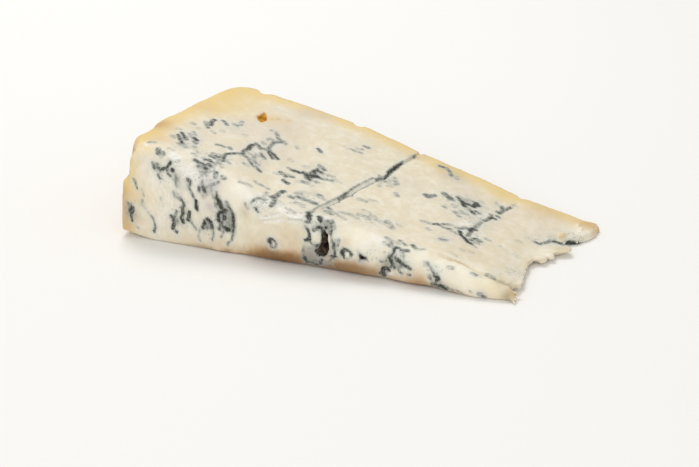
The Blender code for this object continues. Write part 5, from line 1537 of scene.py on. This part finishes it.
# %% A tree that scatters grains on a ground
grains = bpy.data.node_groups.new("grains_on_a_ground", "GeometryNodeTree")
sockets = {}
for title, kind in (
    ("Ground", "Geometry"), ("Grains per square metre", "Float"), ("Smallest radius", "Float"),
    ("Largest radius", "Float"), ("Height", "Float"), ("Unevenness", "Float"), ("Seed", "Int"),
    ("Finish", "Material"),
):
    socket = grains.interface.new_socket(title, in_out="INPUT", socket_type="NodeSocket" + kind)
    sockets[title] = socket.identifier
grains.interface.new_socket("Grains", in_out="OUTPUT", socket_type="NodeSocketGeometry")
given = add(grains, "NodeGroupInput").outputs
spots = add(grains, "GeometryNodeDistributePointsOnFaces", {
    "Mesh": given["Ground"], "Density": given["Grains per square metre"], "Seed": given["Seed"]}).outputs
radius = add(grains, "FunctionNodeRandomValue", {
    2: given["Smallest radius"], 3: given["Largest radius"], "Seed": given["Seed"]}).outputs[1]
tall = add(grains, "ShaderNodeMath", {0: radius, 1: given["Height"]}, operation="MULTIPLY").outputs[0]
size = add(grains, "ShaderNodeCombineXYZ", {0: radius, 1: radius, 2: tall}).outputs[0]
ball = add(grains, "GeometryNodeMeshIcoSphere", {"Radius": 1.0, "Subdivisions": 1}).outputs[0]
balls = add(grains, "GeometryNodeInstanceOnPoints", {
    "Points": spots["Points"], "Instance": ball, "Rotation": spots["Rotation"], "Scale": size}).outputs[0]
real = add(grains, "GeometryNodeRealizeInstances", {"Geometry": balls}).outputs[0]
LUMP_SIZE = 0.6 * MM
noise = add(grains, "ShaderNodeTexNoise", {"Scale": 1 / LUMP_SIZE, "Detail": 1.0}).outputs["Color"]
either_way = add(grains, "ShaderNodeVectorMath", {0: noise, 1: (0.5, 0.5, 0.5)}, operation="SUBTRACT")
lumps = add(grains, "ShaderNodeVectorMath", {
    0: either_way.outputs[0], "Scale": given["Unevenness"]}, operation="SCALE").outputs[0]
uneven_grains = add(grains, "GeometryNodeSetPosition", {"Geometry": real, "Offset": lumps}).outputs[0]
smooth_grains = add(grains, "GeometryNodeSetShadeSmooth", {"Geometry": uneven_grains}).outputs[0]
finished = add(grains, "GeometryNodeSetMaterial", {
    "Geometry": smooth_grains, "Material": given["Finish"]}).outputs[0]
add(grains, "NodeGroupOutput", {"Grains": finished})
print("nodes in the tree:", len(grains.nodes))

# %% Scatter on part of the surface


def scatter(name, chosen, values):
    """Grains on the faces with two or more chosen corners, as one plain mesh."""
    faces = quads[chosen[quads].sum(1) >= 2]
    used, corners = np.unique(faces, return_inverse=True)
    piece = new_mesh(name, points[used], corners.reshape(faces.shape).tolist())
    modifier = piece.modifiers.new("grains", "NODES")
    modifier.node_group = grains
    for title, value in values.items():
        modifier[sockets[title]] = value
    mesh = bpy.data.meshes.new_from_object(piece.evaluated_get(bpy.context.evaluated_depsgraph_get()))
    piece.modifiers.clear()
    piece.data = mesh
    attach(piece, "root")
    print(name, "faces:", len(mesh.polygons))
    return piece


# %% Tufts of mould
# Spores are dull and dark olive grey, and young tufts are paler and bluer.
tuft_look, tree, shader, known = start_look("blue_mould_spore_tufts")
follow(tree, [
    ("drift", "SPOTS", "place", 2.5, 2, 0.5),
    ("speck", "SPOTS", "place", 0.5, 1, 0.5),
    ("young", "SMOOTH", "drift", 0.5, 0.68, 0.0, 0.8),
    ("olive", "SMOOTH", "speck", 0.5, 0.65, 0.0, 0.6),
    ("rough", "MULTIPLY_ADD", "speck", 0.2, 0.8),
], known)
base = paint(tree, "34352b", [("olive", "4c4b38"), ("young", "767a74")], known)
tree.links.new(base, shader.inputs["Base Color"])
tree.links.new(known["rough"], shader.inputs["Roughness"])
scatter("mould_tufts", (vein < -0.12) & (ink > 0.7) & (layers["carved_mm"] < 1.2), {
    "Grains per square metre": 2.2 / MM**2, "Smallest radius": 0.10 * MM, "Largest radius": 0.24 * MM,
    "Height": 0.7, "Unevenness": 0.15 * MM, "Seed": 4, "Finish": tuft_look})

# %% Crumbs on the torn edge
# Freshly torn paste is moist and pale, a little yellower where it has dried.
crumb_look, tree, shader, known = start_look("torn_paste_crumbs")
follow(tree, [
    ("drift", "SPOTS", "place", 5, 2, 0.5),
    ("dried", "SMOOTH", "drift", 0.42, 0.62, 0.0, 0.7),
    ("rough", "MULTIPLY_ADD", "drift", 0.3, 0.4),
], known)
base = paint(tree, "eee5cf", [("dried", "e3cfa6")], known)
tree.links.new(base, shader.inputs["Base Color"])
tree.links.new(known["rough"], shader.inputs["Roughness"])
shader.inputs["IOR"].default_value = 1.45
to_tear = along(TORN_TIP, py) - px
scatter("torn_crumbs", (to_tear < 0.4) & (pz < 3.5) & (pz > 0.5) & (vein > 0), {
    "Grains per square metre": 0.5 / MM**2, "Smallest radius": 0.16 * MM, "Largest radius": 0.45 * MM,
    "Height": 0.8, "Unevenness": 0.5 * MM, "Seed": 11, "Finish": crumb_look})

# %% [markdown]
# ## Floor and light
# A plain pale floor, a white surround, and one large soft lamp above and behind, so that the upper
# cut is bright and the foot keeps a thin dark shadow.

# %% Stage
floor_mesh = bpy.data.meshes.new("floor")
reach = 3.0
floor_mesh.from_pydata([(-reach, -reach, 0), (reach, -reach, 0), (reach, reach, 0), (-reach, reach, 0)], [],
                       [(0, 1, 2, 3)])
floor = bpy.data.objects.new("floor", floor_mesh)
bpy.context.scene.collection.objects.link(floor)
floor_look = bpy.data.materials.new("plain_matt_floor")
floor_look.use_nodes = True
floor_look.node_tree.nodes["Principled BSDF"].inputs["Base Color"].default_value = colour("f2f0ec")
floor_look.node_tree.nodes["Principled BSDF"].inputs["Roughness"].default_value = 0.9
floor_mesh.materials.append(floor_look)

world = bpy.data.worlds.new("studio")
world.use_nodes = True
world.node_tree.nodes["Background"].inputs["Color"].default_value = (1, 1, 1, 1)
world.node_tree.nodes["Background"].inputs["Strength"].default_value = 0.62
bpy.context.scene.world = world


def soft_lamp(name, place, size, power):
    lamp = bpy.data.lights.new(name, "AREA")
    lamp.size, lamp.energy = size, power
    obj = bpy.data.objects.new(name, lamp)
    bpy.context.scene.collection.objects.link(obj)
    obj.location = place
    obj.rotation_euler = (-Vector(place)).to_track_quat("-Z", "Y").to_euler()


soft_lamp("key", (-0.35, 0.35, 0.9), 0.5, 4.5)
soft_lamp("fill", (0.2, -0.9, 0.5), 0.7, 3.0)
bpy.context.scene.view_settings.view_transform = "Standard"
